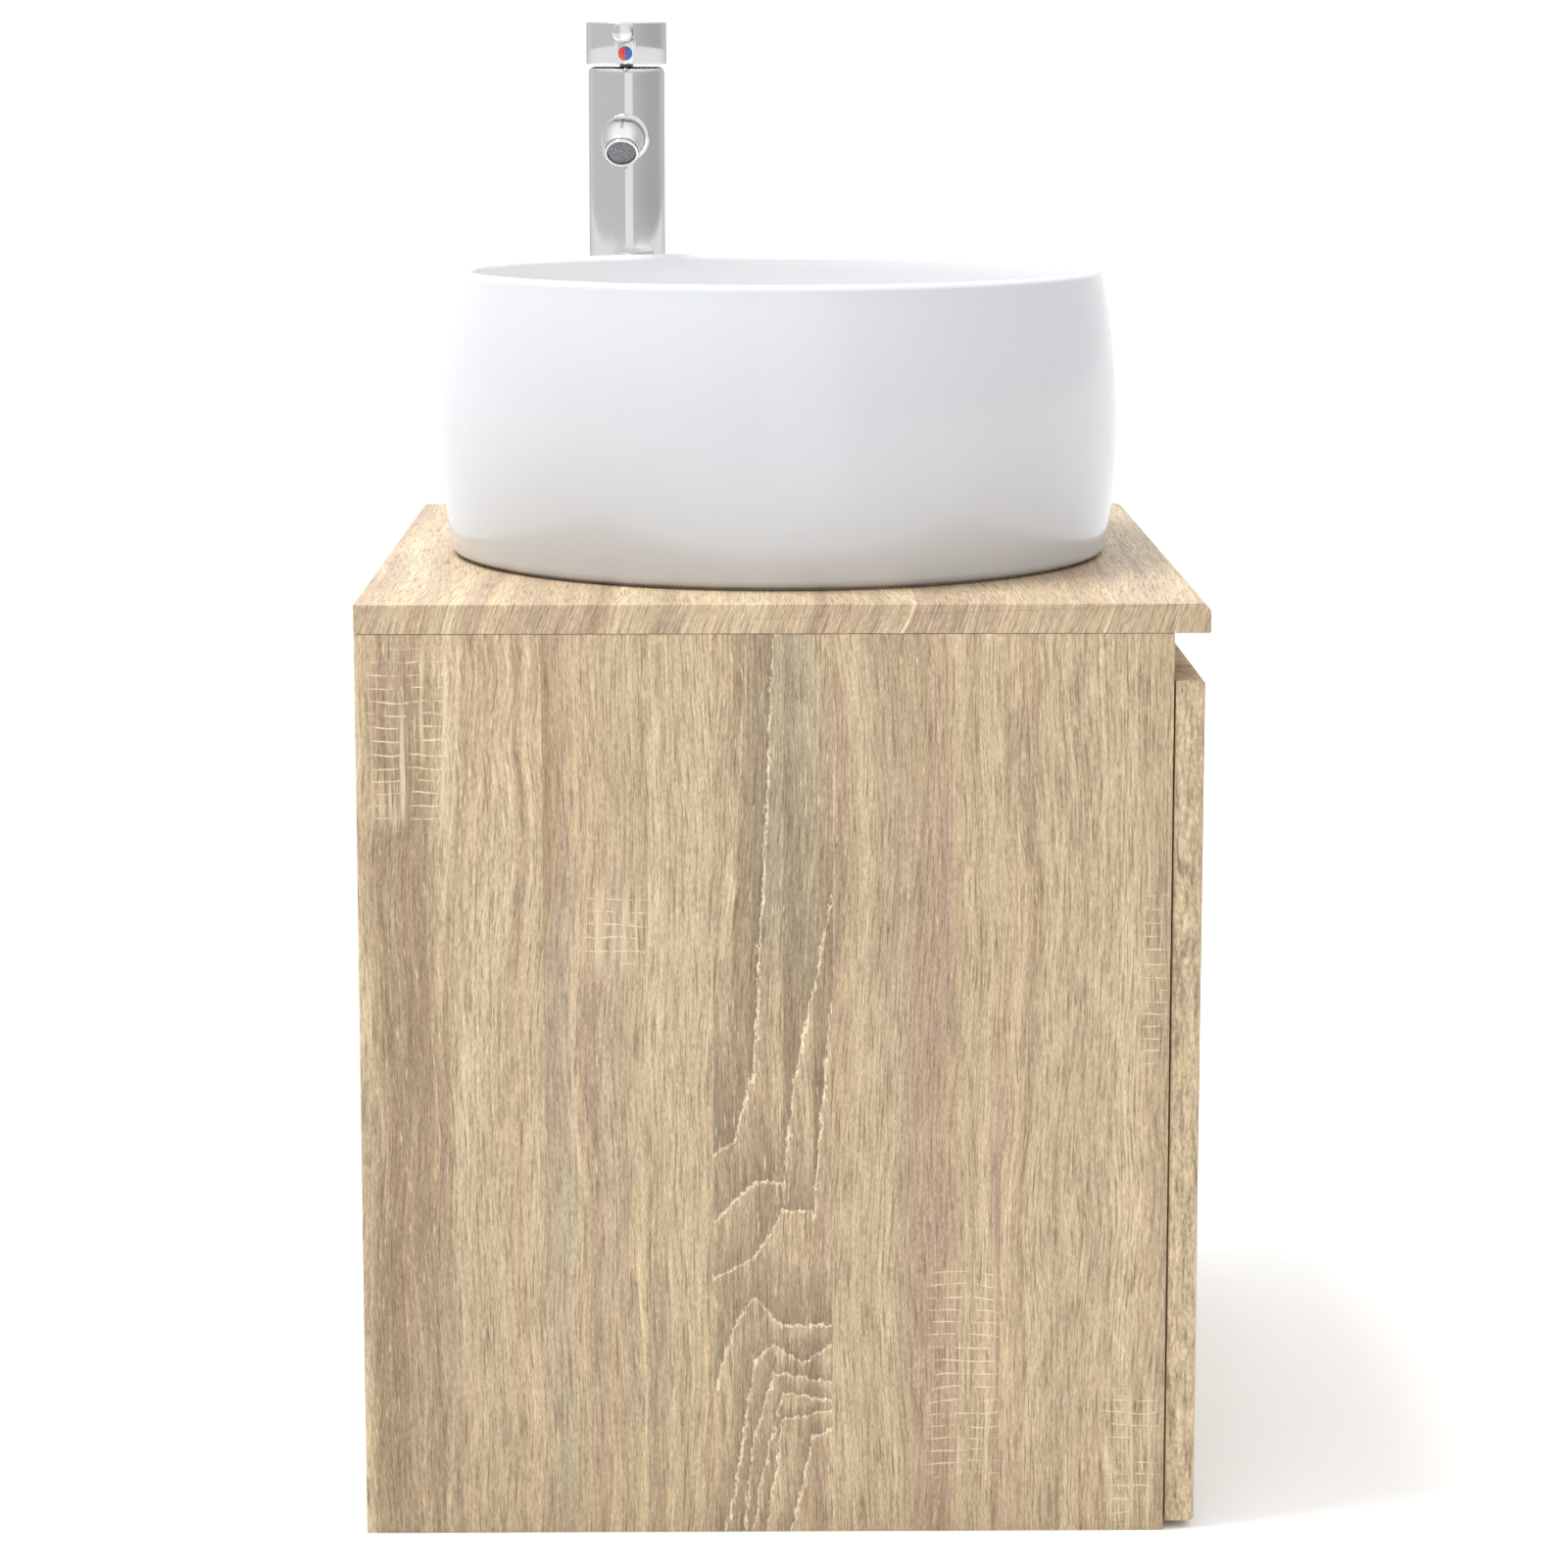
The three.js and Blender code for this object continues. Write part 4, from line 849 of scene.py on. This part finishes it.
def capPiece():
    sizes = {"radius": 23.75 * mm, "wall": 2.25 * mm, "top": 4 * mm, "boss": 8 * mm, "stem": 4.3 * mm,
             "socketLow": 3 * mm, "socketHigh": 15.3 * mm, "round": 1.2 * mm, "leverHole": 5.95 * mm,
             "dotHole": 4.1 * mm, "lever": 5.75 * mm, "tang": 3 * mm, "tangStart": 12 * mm,
             "leverStart": 21 * mm, "leverEnd": 85.75 * mm, "dot": 4 * mm, "dotStart": 21.5 * mm,
             "dotEnd": 24 * mm}
    low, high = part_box("handle_cap")
    tall = high[2] - low[2]
    inner = sizes["radius"] - sizes["wall"]
    cap = turnedPiece([
        (0, sizes["socketHigh"]),
        (sizes["stem"], sizes["socketHigh"]),
        (sizes["stem"], sizes["socketLow"], 0.4 * mm),
        (sizes["boss"], sizes["socketLow"], 0.6 * mm),
        (sizes["boss"], tall - sizes["top"], 1 * mm),
        (inner, tall - sizes["top"], 1.5 * mm),
        (inner, 0, 0.4 * mm),
        (sizes["radius"], 0, 0.6 * mm),
        (sizes["radius"], tall, sizes["round"]),
        (0, tall),
    ], (tapX, tapY, low[2]), steps=96, closed=False)
    leverLow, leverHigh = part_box("handle_lever")
    leverZ = (leverLow[2] + leverHigh[2]) / 2
    dotLow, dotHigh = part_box("temperature_dot")
    dotZ = (dotLow[2] + dotHigh[2]) / 2
    reach = sizes["radius"] + 5 * mm
    cutWith(cap, drillFor(sizes["leverHole"], (tapX - sizes["leverStart"], tapY, leverZ), left, reach))
    cutWith(cap, drillFor(sizes["dotHole"], (tapX - sizes["tangStart"], tapY, dotZ), left, reach))
    finishPiece(cap, "handle_hood", "handle", chrome, 35, ["handle_cap"])

    lever = turnedPiece([
        (0, sizes["tangStart"]),
        (sizes["tang"], sizes["tangStart"], 0.4 * mm),
        (sizes["tang"], sizes["leverStart"]),
        (sizes["lever"], sizes["leverStart"], 0.3 * mm),
        (sizes["lever"], sizes["leverEnd"], 1.3 * mm),
        (0, sizes["leverEnd"]),
    ], (tapX, tapY, leverZ), left, up, 48, closed=False)
    finishPiece(lever, "lever_pin", "handle", chrome, 35, ["handle_lever"])

    dot = turnedPiece([
        (0, sizes["dotStart"]),
        (sizes["dot"], sizes["dotStart"]),
        (sizes["dot"], sizes["dotEnd"], 0.5 * mm),
        (0, sizes["dotEnd"]),
    ], (tapX, tapY, dotZ), left, up, 40, closed=False)
    finishPiece(dot, "hot_cold_dot", "handle", dotMaterial(tapY), 35,
        ["temperature_dot"])


spoutSizes = {
    "radius": 12 * mm,
    "endRadius": 10.5 * mm,
    "shank": 9 * mm,
    "bore": 8 * mm,
    "cup": 9.75 * mm,
    "shoulder": 25.5 * mm,
    "bend": math.radians(38),
    "bendRadius": 20 * mm,
    "reach": 108 * mm,
    "endLength": 3.5 * mm,
    "height": 222.5 * mm,
    "steps": 12,
    "column": 22.55 * mm,
    "collar": 14 * mm,
    "collarStart": 12 * mm,
    "collarHole": 9.3 * mm,
}


def spoutPiece():
    sizes = spoutSizes
    axisZ = counterZ + sizes["height"]
    turn, bendRadius = sizes["bend"], sizes["bendRadius"]
    startX = tapX - (sizes["reach"] - bendRadius * math.sin(turn)
        - sizes["endLength"] * math.cos(turn))
    centre = Vector((startX, tapY, axisZ - bendRadius))
    deselectAll()
    bpy.ops.mesh.primitive_circle_add(vertices=64, radius=sizes["radius"],
        location=(tapX - sizes["shoulder"], tapY, axisZ), rotation=(0, math.pi / 2, 0))
    tube = bpy.context.object
    bpy.ops.object.transform_apply(location=True, rotation=True, scale=True)
    bpy.ops.object.mode_set(mode="EDIT")
    bpy.ops.mesh.select_all(action="SELECT")
    straight = startX - (tapX - sizes["shoulder"])
    bpy.ops.mesh.extrude_region_move(TRANSFORM_OT_translate={"value": (straight, 0, 0)})
    place = Vector((startX, tapY, axisZ))
    shrink = (sizes["endRadius"] / sizes["radius"]) ** (1 / sizes["steps"])
    step = turn / sizes["steps"]
    for i in range(sizes["steps"]):
        bpy.ops.mesh.extrude_region_move(TRANSFORM_OT_translate={"value": (0, 0, 0)})
        bpy.ops.transform.rotate(value=step, orient_axis="Y", orient_type="GLOBAL",
            center_override=centre)
        angle = step * (i + 1)
        place = centre + Vector((-math.sin(angle), 0, math.cos(angle))) * bendRadius
        bpy.ops.transform.resize(value=(shrink, shrink, shrink), center_override=place)
    out = Vector((-math.cos(turn), 0, -math.sin(turn)))
    bpy.ops.mesh.extrude_region_move(
        TRANSFORM_OT_translate={"value": out * (sizes["endLength"] - 0.5 * mm)})
    place += out * (sizes["endLength"] - 0.5 * mm)
    ringRadius = sizes["endRadius"]
    # the rounded lip, the cup for the aerator and the way in
    for radius, run in ((10.35 * mm, 0.3 * mm), (10.1 * mm, 0.2 * mm), (9.9 * mm, -0.1 * mm),
                        (sizes["cup"], -0.3 * mm), (sizes["cup"], -3.2 * mm), (sizes["bore"], 0),
                        (sizes["bore"], -2 * mm)):
        bpy.ops.mesh.extrude_region_move(TRANSFORM_OT_translate={"value": out * run})
        place += out * run
        size = radius / ringRadius
        bpy.ops.transform.resize(value=(size, size, size), center_override=place)
        ringRadius = radius
    bpy.ops.mesh.edge_face_add()
    # the shank that screws into the column
    bpy.ops.mesh.select_all(action="DESELECT")
    bpy.ops.object.mode_set(mode="OBJECT")
    shoulderX = tapX - sizes["shoulder"]
    for vertex in tube.data.vertices:
        vertex.select = vertex.co.x > shoulderX - 0.01 * mm
    bpy.ops.object.mode_set(mode="EDIT")
    bpy.ops.mesh.select_mode(type="VERT")
    centre = Vector((shoulderX, tapY, axisZ))
    size = sizes["shank"] / sizes["radius"]
    bpy.ops.mesh.extrude_region_move(TRANSFORM_OT_translate={"value": (0, 0, 0)})
    bpy.ops.transform.resize(value=(size, size, size), center_override=centre)
    bpy.ops.mesh.extrude_region_move(TRANSFORM_OT_translate={"value": (6.5 * mm, 0, 0)})
    bpy.ops.mesh.edge_face_add()
    bpy.ops.mesh.select_all(action="SELECT")
    bpy.ops.mesh.normals_make_consistent(inside=False)
    bpy.ops.object.mode_set(mode="OBJECT")
    finishPiece(tube, "spout_tube", "cabinet", chrome, 40, ["tap_spout"])

    collar = turnedPiece([
        (sizes["collarHole"], sizes["collarStart"]),
        (sizes["collar"], sizes["collarStart"]),
        (sizes["collar"], sizes["shoulder"], 0.9 * mm),
        (sizes["collarHole"], sizes["shoulder"]),
    ], (tapX, tapY, axisZ), left, up, 64)
    cutWith(collar, drillFor(sizes["column"], (tapX, tapY, counterZ), up, 300 * mm, 96))
    finishPiece(collar, "spout_ring", "cabinet", chrome, 35, ["spout_collar"])

    drop = bendRadius * (1 - math.cos(turn)) + sizes["endLength"] * math.sin(turn)
    mouth = Vector((tapX - sizes["reach"], tapY, axisZ - drop))
    housing = turnedPiece([
        (8.25 * mm, -3 * mm),
        (9.7 * mm, -3 * mm),
        (9.7 * mm, 1.5 * mm, 0.6 * mm),
        (8.25 * mm, 1.5 * mm, 0.4 * mm),
    ], mouth, out, wall, 64)
    finishPiece(housing, "aerator_ring", "cabinet", chrome, 35, ["aerator_housing"])
    rings = [(0, -3 * mm), (7.95 * mm, -3 * mm), (7.95 * mm, -0.2 * mm, 0.2 * mm)]
    for i in range(7, 0, -1):
        rings += [((i + 0.35) * mm, -0.2 * mm), ((i + 0.15) * mm, -0.8 * mm),
                  ((i - 0.15) * mm, -0.8 * mm), ((i - 0.35) * mm, -0.2 * mm)]
    rings.append((0, -0.2 * mm))
    insert = turnedPiece(rings, mouth, out, wall, 48, closed=False)
    finishPiece(insert, "aerator_screen", "cabinet", greyPlastic, 30,
        ["aerator_insert"])


pillarPiece()
capPiece()
spoutPiece()
print("mixer ready")


# the waste and the bottle trap

wasteSizes = {
    "bore": 17 * mm,
    "ledge": 15 * mm,
    "body": 20.5 * mm,
    "flange": 32 * mm,
    "flangeThick": 3 * mm,
    "plug": 31 * mm,
    "plugDome": 6 * mm,
    "stem": 4 * mm,
    "stemLength": 52 * mm,
    "ledgeDepth": 40 * mm,
    "threads": 14,
    "threadStart": 8 * mm,
    "threadPitch": 2.4 * mm,
}


def wastePieces():
    sizes = wasteSizes
    low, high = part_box("waste_body")
    tall = high[2] - low[2]
    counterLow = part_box("countertop")[0][2]
    ledgeAt = counterLow - sizes["ledgeDepth"] - low[2]
    thread = []
    for i in range(sizes["threads"]):
        height = sizes["threadStart"] + i * sizes["threadPitch"]
        thread += [(sizes["body"], height), (sizes["body"] - 0.5 * mm, height + 0.8 * mm),
                   (sizes["body"], height + 1.6 * mm)]
    body = turnedPiece([
        (sizes["ledge"], 0),
        (sizes["body"], 0, 0.6 * mm),
        *thread,
        (sizes["body"], tall - sizes["flangeThick"]),
        (sizes["flange"], tall - sizes["flangeThick"], 0.5 * mm),
        (sizes["flange"], tall, 1.4 * mm),
        (sizes["bore"], tall, 1.2 * mm),
        (sizes["bore"], ledgeAt),
        (sizes["ledge"], ledgeAt, 0.4 * mm),
    ], (0, 0, low[2]), steps=72)
    finishPiece(body, "waste_shell", "cabinet", chrome, 35, ["waste_body"])

    low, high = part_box("waste_plug")
    seat = sizes["stemLength"]
    plug = turnedPiece([
        (0, 0),
        (sizes["stem"], 0, 0.8 * mm),
        (sizes["stem"], seat, 0.3 * mm),
        (sizes["plug"], seat, 0.6 * mm),
        (sizes["plug"], seat + 2.3 * mm, 1 * mm),
        (sizes["plug"] * 0.6, seat + 5.1 * mm, 4 * mm),
        (0, seat + sizes["plugDome"]),
    ], (0, 0, low[2]), steps=72, closed=False)
    finishPiece(plug, "waste_cap", "plug", chrome, 35, ["waste_plug"])


trapSizes = {
    "pipe": 16 * mm,
    "pipeBore": 14.5 * mm,
    "pipeHole": 16.3 * mm,
    "neck": 19.8 * mm,
    "nut": 26 * mm,
    "body": 35 * mm,
    "bodyBore": 32.5 * mm,
    "cupGrip": 35.3 * mm,
    "cup": 39.3 * mm,
    "bossEnd": 51 * mm,
    "outlet": -52 * mm,
    "outletHole": 60 * mm,
    "rose": 35 * mm,
    "roseDepth": 8 * mm,
    "neckTop": -8 * mm,
    "shoulder": -15 * mm,
    "bodyLow": -95 * mm,
    "gripTop": -83 * mm,
    "cupFloor": 4 * mm,
    "washer": 3 * mm,
    "dipFlange": 20 * mm,
    "topHole": 20.8 * mm,
    "sideHole": 20.1 * mm,
    "grooves": 16,
    "grooveDepth": 0.6 * mm,
}


def trapPieces():
    sizes = trapSizes
    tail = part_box("waste_body")[0][2]
    middle = (0, 0, tail)
    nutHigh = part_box("trap_inlet_nut")[1][2] - tail
    nut = turnedPiece([
        (sizes["pipeHole"], sizes["neckTop"]),
        (sizes["nut"], sizes["neckTop"], 1.2 * mm),
        (sizes["nut"], nutHigh, 1.2 * mm),
        (sizes["topHole"], nutHigh, 0.5 * mm),
        (sizes["topHole"], -sizes["washer"]),
        (sizes["pipeHole"], -sizes["washer"]),
    ], middle, steps=96)
    gripGrooves(nut, middle, up, sizes["nut"], sizes["grooves"], sizes["grooveDepth"])
    finishPiece(nut, "trap_top_nut", "cabinet", chrome, 30, ["trap_inlet_nut"])

    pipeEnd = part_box("trap_dip_pipe")[0][2] - tail
    dip = turnedPiece([
        (sizes["pipeBore"], pipeEnd, 0.4 * mm),
        (sizes["pipe"], pipeEnd, 0.4 * mm),
        (sizes["pipe"], -sizes["washer"]),
        (sizes["dipFlange"], -sizes["washer"], 0.4 * mm),
        (sizes["dipFlange"], 0, 0.4 * mm),
        (sizes["pipeBore"], 0, 0.4 * mm),
    ], middle, steps=64)
    finishPiece(dip, "trap_inner_pipe", "cabinet", chrome, 35, ["trap_dip_pipe"])

    shell = turnedPiece([
        (sizes["bodyBore"], sizes["bodyLow"]),
        (sizes["body"], sizes["bodyLow"], 0.4 * mm),
        (sizes["body"], sizes["shoulder"], 3 * mm),
        (sizes["neck"], sizes["shoulder"]),
        (sizes["neck"], sizes["neckTop"], 0.6 * mm),
        (sizes["pipeHole"], sizes["neckTop"]),
        (sizes["pipeHole"], sizes["shoulder"] - 2.5 * mm),
        (sizes["bodyBore"], sizes["shoulder"] - 2.5 * mm, 2 * mm),
    ], middle, steps=96)
    outletAt = Vector((0, 0, tail + sizes["outlet"]))
    boss = drillFor(sizes["neck"], outletAt + Vector((0, sizes["bodyBore"], 0)), wall,
        sizes["bossEnd"] - sizes["bodyBore"], 64)
    cutWith(shell, boss, "UNION")
    inside = outletAt + Vector((0, 20 * mm, 0))
    cutWith(shell, drillFor(sizes["pipeHole"], inside, wall, sizes["outletHole"], 64))
    finishPiece(shell, "trap_bottle", "cabinet", chrome, 35, ["trap_body"])

    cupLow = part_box("trap_cup")[0][2] - tail
    cup = turnedPiece([
        (0, cupLow),
        (sizes["bodyBore"], cupLow, 2 * mm),
        (sizes["cup"], cupLow + 5 * mm, 3 * mm),
        (sizes["cup"], sizes["gripTop"], 1.2 * mm),
        (sizes["cupGrip"], sizes["gripTop"]),
        (sizes["cupGrip"], sizes["bodyLow"]),
        (sizes["bodyBore"], sizes["bodyLow"]),
        (sizes["bodyBore"], cupLow + 8 * mm, 2 * mm),
        (28.5 * mm, cupLow + sizes["cupFloor"], 1 * mm),
        (0, cupLow + sizes["cupFloor"]),
    ], middle, steps=96, closed=False)
    gripGrooves(cup, middle, up, sizes["cup"], sizes["grooves"], 0.7 * mm)
    finishPiece(cup, "trap_bottle_cup", "cabinet", chrome, 30, ["trap_cup"])

    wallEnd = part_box("trap_wall_rose")[1][1]
    pipe = turnedPiece([
        (sizes["pipeBore"], sizes["bodyBore"], 0.3 * mm),
        (sizes["pipe"], sizes["bodyBore"], 0.3 * mm),
        (sizes["pipe"], wallEnd),
        (sizes["pipeBore"], wallEnd),
    ], outletAt, wall, (1, 0, 0), 64)
    finishPiece(pipe, "trap_wall_pipe", "cabinet", chrome, 35, ["trap_outlet_pipe"])
    nutLow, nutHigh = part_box("trap_outlet_nut")
    side = turnedPiece([
        (sizes["pipeHole"], nutHigh[1], 0.3 * mm),
        (sizes["sideHole"], sizes["bossEnd"]),
        (sizes["sideHole"], nutLow[1], 0.4 * mm),
        (sizes["nut"], nutLow[1], 1.2 * mm),
        (sizes["nut"], nutHigh[1], 1.2 * mm),
    ], outletAt, wall, (1, 0, 0), 96)
    gripGrooves(side, outletAt, wall, sizes["nut"], sizes["grooves"], sizes["grooveDepth"])
    finishPiece(side, "trap_side_nut", "cabinet", chrome, 30, ["trap_outlet_nut"])
    rose = turnedPiece([
        (sizes["pipeHole"], wallEnd - sizes["roseDepth"], 0.3 * mm),
        (sizes["neck"], wallEnd - sizes["roseDepth"], 1.2 * mm),
        (27 * mm, wallEnd - 5 * mm, 5 * mm),
        (sizes["rose"], wallEnd - 1.2 * mm, 0.8 * mm),
        (sizes["rose"], wallEnd),
        (sizes["pipeHole"], wallEnd),
    ], outletAt, wall, (1, 0, 0), 96)
    finishPiece(rose, "wall_rose", "cabinet", chrome, 35, ["trap_wall_rose"])


wastePieces()
trapPieces()
print("waste and trap ready")


# the CAD nodes that stay, with their finishes

keptFinishes = {
    "bottom_panel": innerOak,
    "back_rail_lower": innerOak,
    "back_rail_upper": innerOak,
    "front_stretcher": innerOak,
    "drawer_box_front": innerOak,
    "drawer_back": innerOak,
    "drawer_side_left": drawerSideOak,
    "drawer_side_right": drawerSideOak,
    "drawer_bottom": whitePlastic,
    "basin_seal": silicone,
    "waste_click_barrel": whitePlastic,
    "cartridge_housing": whitePlastic,
    "cartridge_carrier": greyPlastic,
    "cartridge_spindle": zincSteel,
    "cartridge_nut": brass,
    "waste_backnut": brass,
    "tap_stud": brass,
    "tap_stud_nut": brass,
    "tap_horseshoe_washer": zincSteel,
    "handle_set_screw": zincSteel,
    "front_bumper_left": blackRubber,
    "front_bumper_right": blackRubber,
    "waste_seal_washer": blackRubber,
    "waste_lower_gasket": blackRubber,
    "tap_base_gasket": blackRubber,
}
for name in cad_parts:
    if name.startswith(("runner_", "hanger_", "front_screw_")):
        keptFinishes[name] = zincSteel
for name, material in keptFinishes.items():
    node = bpy.data.objects[name]
    node.data.materials.clear()
    node.data.materials.append(material)
print("kept nodes finished")


# floor, lights and camera

studio = {
    "strength": 1.35,
    "alongX": [(0.0, 0.55), (0.7, 0.57), (0.93, 0.82)],
    "alongY": [(0.0, 0.72), (0.35, 0.94), (0.5, 1.0), (1.0, 0.98)],
    "ceiling": [(0.3, 0.0), (0.8, 1.0)],
    "floor": (paint(246, 246, 246), paint(249, 249, 249)),
    "keyTowards": (-0.1, 0.34, 1.0),
    "keyPower": 60,
    "stripTowards": (-1, -0.12, 0.1),
    "stripPower": 2.8,
}


def floorPiece():
    deselectAll()
    bpy.ops.mesh.primitive_plane_add(size=80, location=(0, 0, 0))
    floor = bpy.context.object
    floor.name = "studio_floor"
    material, tree = newMaterial("paleFloor")
    cloud = noiseAt(tree, placeAt(tree), 2, 2, 0.5)
    wire(tree, rampOf(tree, cloud, [(0.3, studio["floor"][0]), (0.7, studio["floor"][1])]),
        shaderOf(tree).inputs["Base Color"])
    setShader(tree, Roughness=0.9)
    floor.data.materials.append(material)


def softLight(name, towards, distance, size, power):
    aim = Vector((0, 0, 0.5))
    direction = Vector(towards).normalized()
    data = bpy.data.lights.new(name, "AREA")
    data.shape = "RECTANGLE"
    data.size, data.size_y = size
    data.energy = power
    light = bpy.data.objects.new(name, data)
    light.visible_camera = False
    light.location = aim + direction * distance
    light.rotation_euler = direction.to_track_quat("Z", "Y").to_euler()
    bpy.context.collection.objects.link(light)


def studioWorld():
    world = bpy.data.worlds.new("studio")
    world.use_nodes = True
    tree = world.node_tree
    coords = addNode(tree, "ShaderNodeTexCoord")
    split = addNode(tree, "ShaderNodeSeparateXYZ")
    wire(tree, coords.outputs["Generated"], split.inputs[0])
    sides = []
    for axis, stops in ((0, studio["alongX"]), (1, studio["alongY"])):
        share = mathOf(tree, "MULTIPLY", mathOf(tree, "ADD", split.outputs[axis], 1), 0.5)
        sides.append(rampOf(tree, share, stops))
    walls = mixOf(tree, 1.0, sides[0], sides[1], "MULTIPLY")
    ceiling = rampOf(tree, split.outputs[2], studio["ceiling"])
    sky = mixOf(tree, ceiling, walls, (1, 1, 1, 1))
    wire(tree, sky, tree.nodes["Background"].inputs["Color"])
    tree.nodes["Background"].inputs["Strength"].default_value = studio["strength"]
    bpy.context.scene.world = world


cameraSizes = {
    "place": (-2.14, 0.0208, 0.7441),
    "yaw": math.radians(0.64),
    "pitch": math.radians(7.846),
    "lens": 89.5,
    "shiftY": -0.115,
}


def mainCamera():
    sizes = cameraSizes
    data = bpy.data.cameras.new("mainCamera")
    data.lens = sizes["lens"]
    data.sensor_width = 36
    data.shift_y = sizes["shiftY"]
    data.clip_end = 60
    camera = bpy.data.objects.new("mainCamera", data)
    camera.location = sizes["place"]
    look = Vector((math.cos(sizes["pitch"]) * math.cos(sizes["yaw"]),
        -math.cos(sizes["pitch"]) * math.sin(sizes["yaw"]), -math.sin(sizes["pitch"])))
    camera.rotation_euler = look.to_track_quat("-Z", "Y").to_euler()
    bpy.context.collection.objects.link(camera)
    bpy.context.scene.camera = camera


floorPiece()
studioWorld()
softLight("keyLight", studio["keyTowards"], 2.6, (0.8, 0.8), studio["keyPower"])
softLight("stripLight", studio["stripTowards"], 3.2, (1.4, 1.7), studio["stripPower"])
mainCamera()
bpy.context.scene.view_settings.view_transform = "Standard"
print("stage ready")
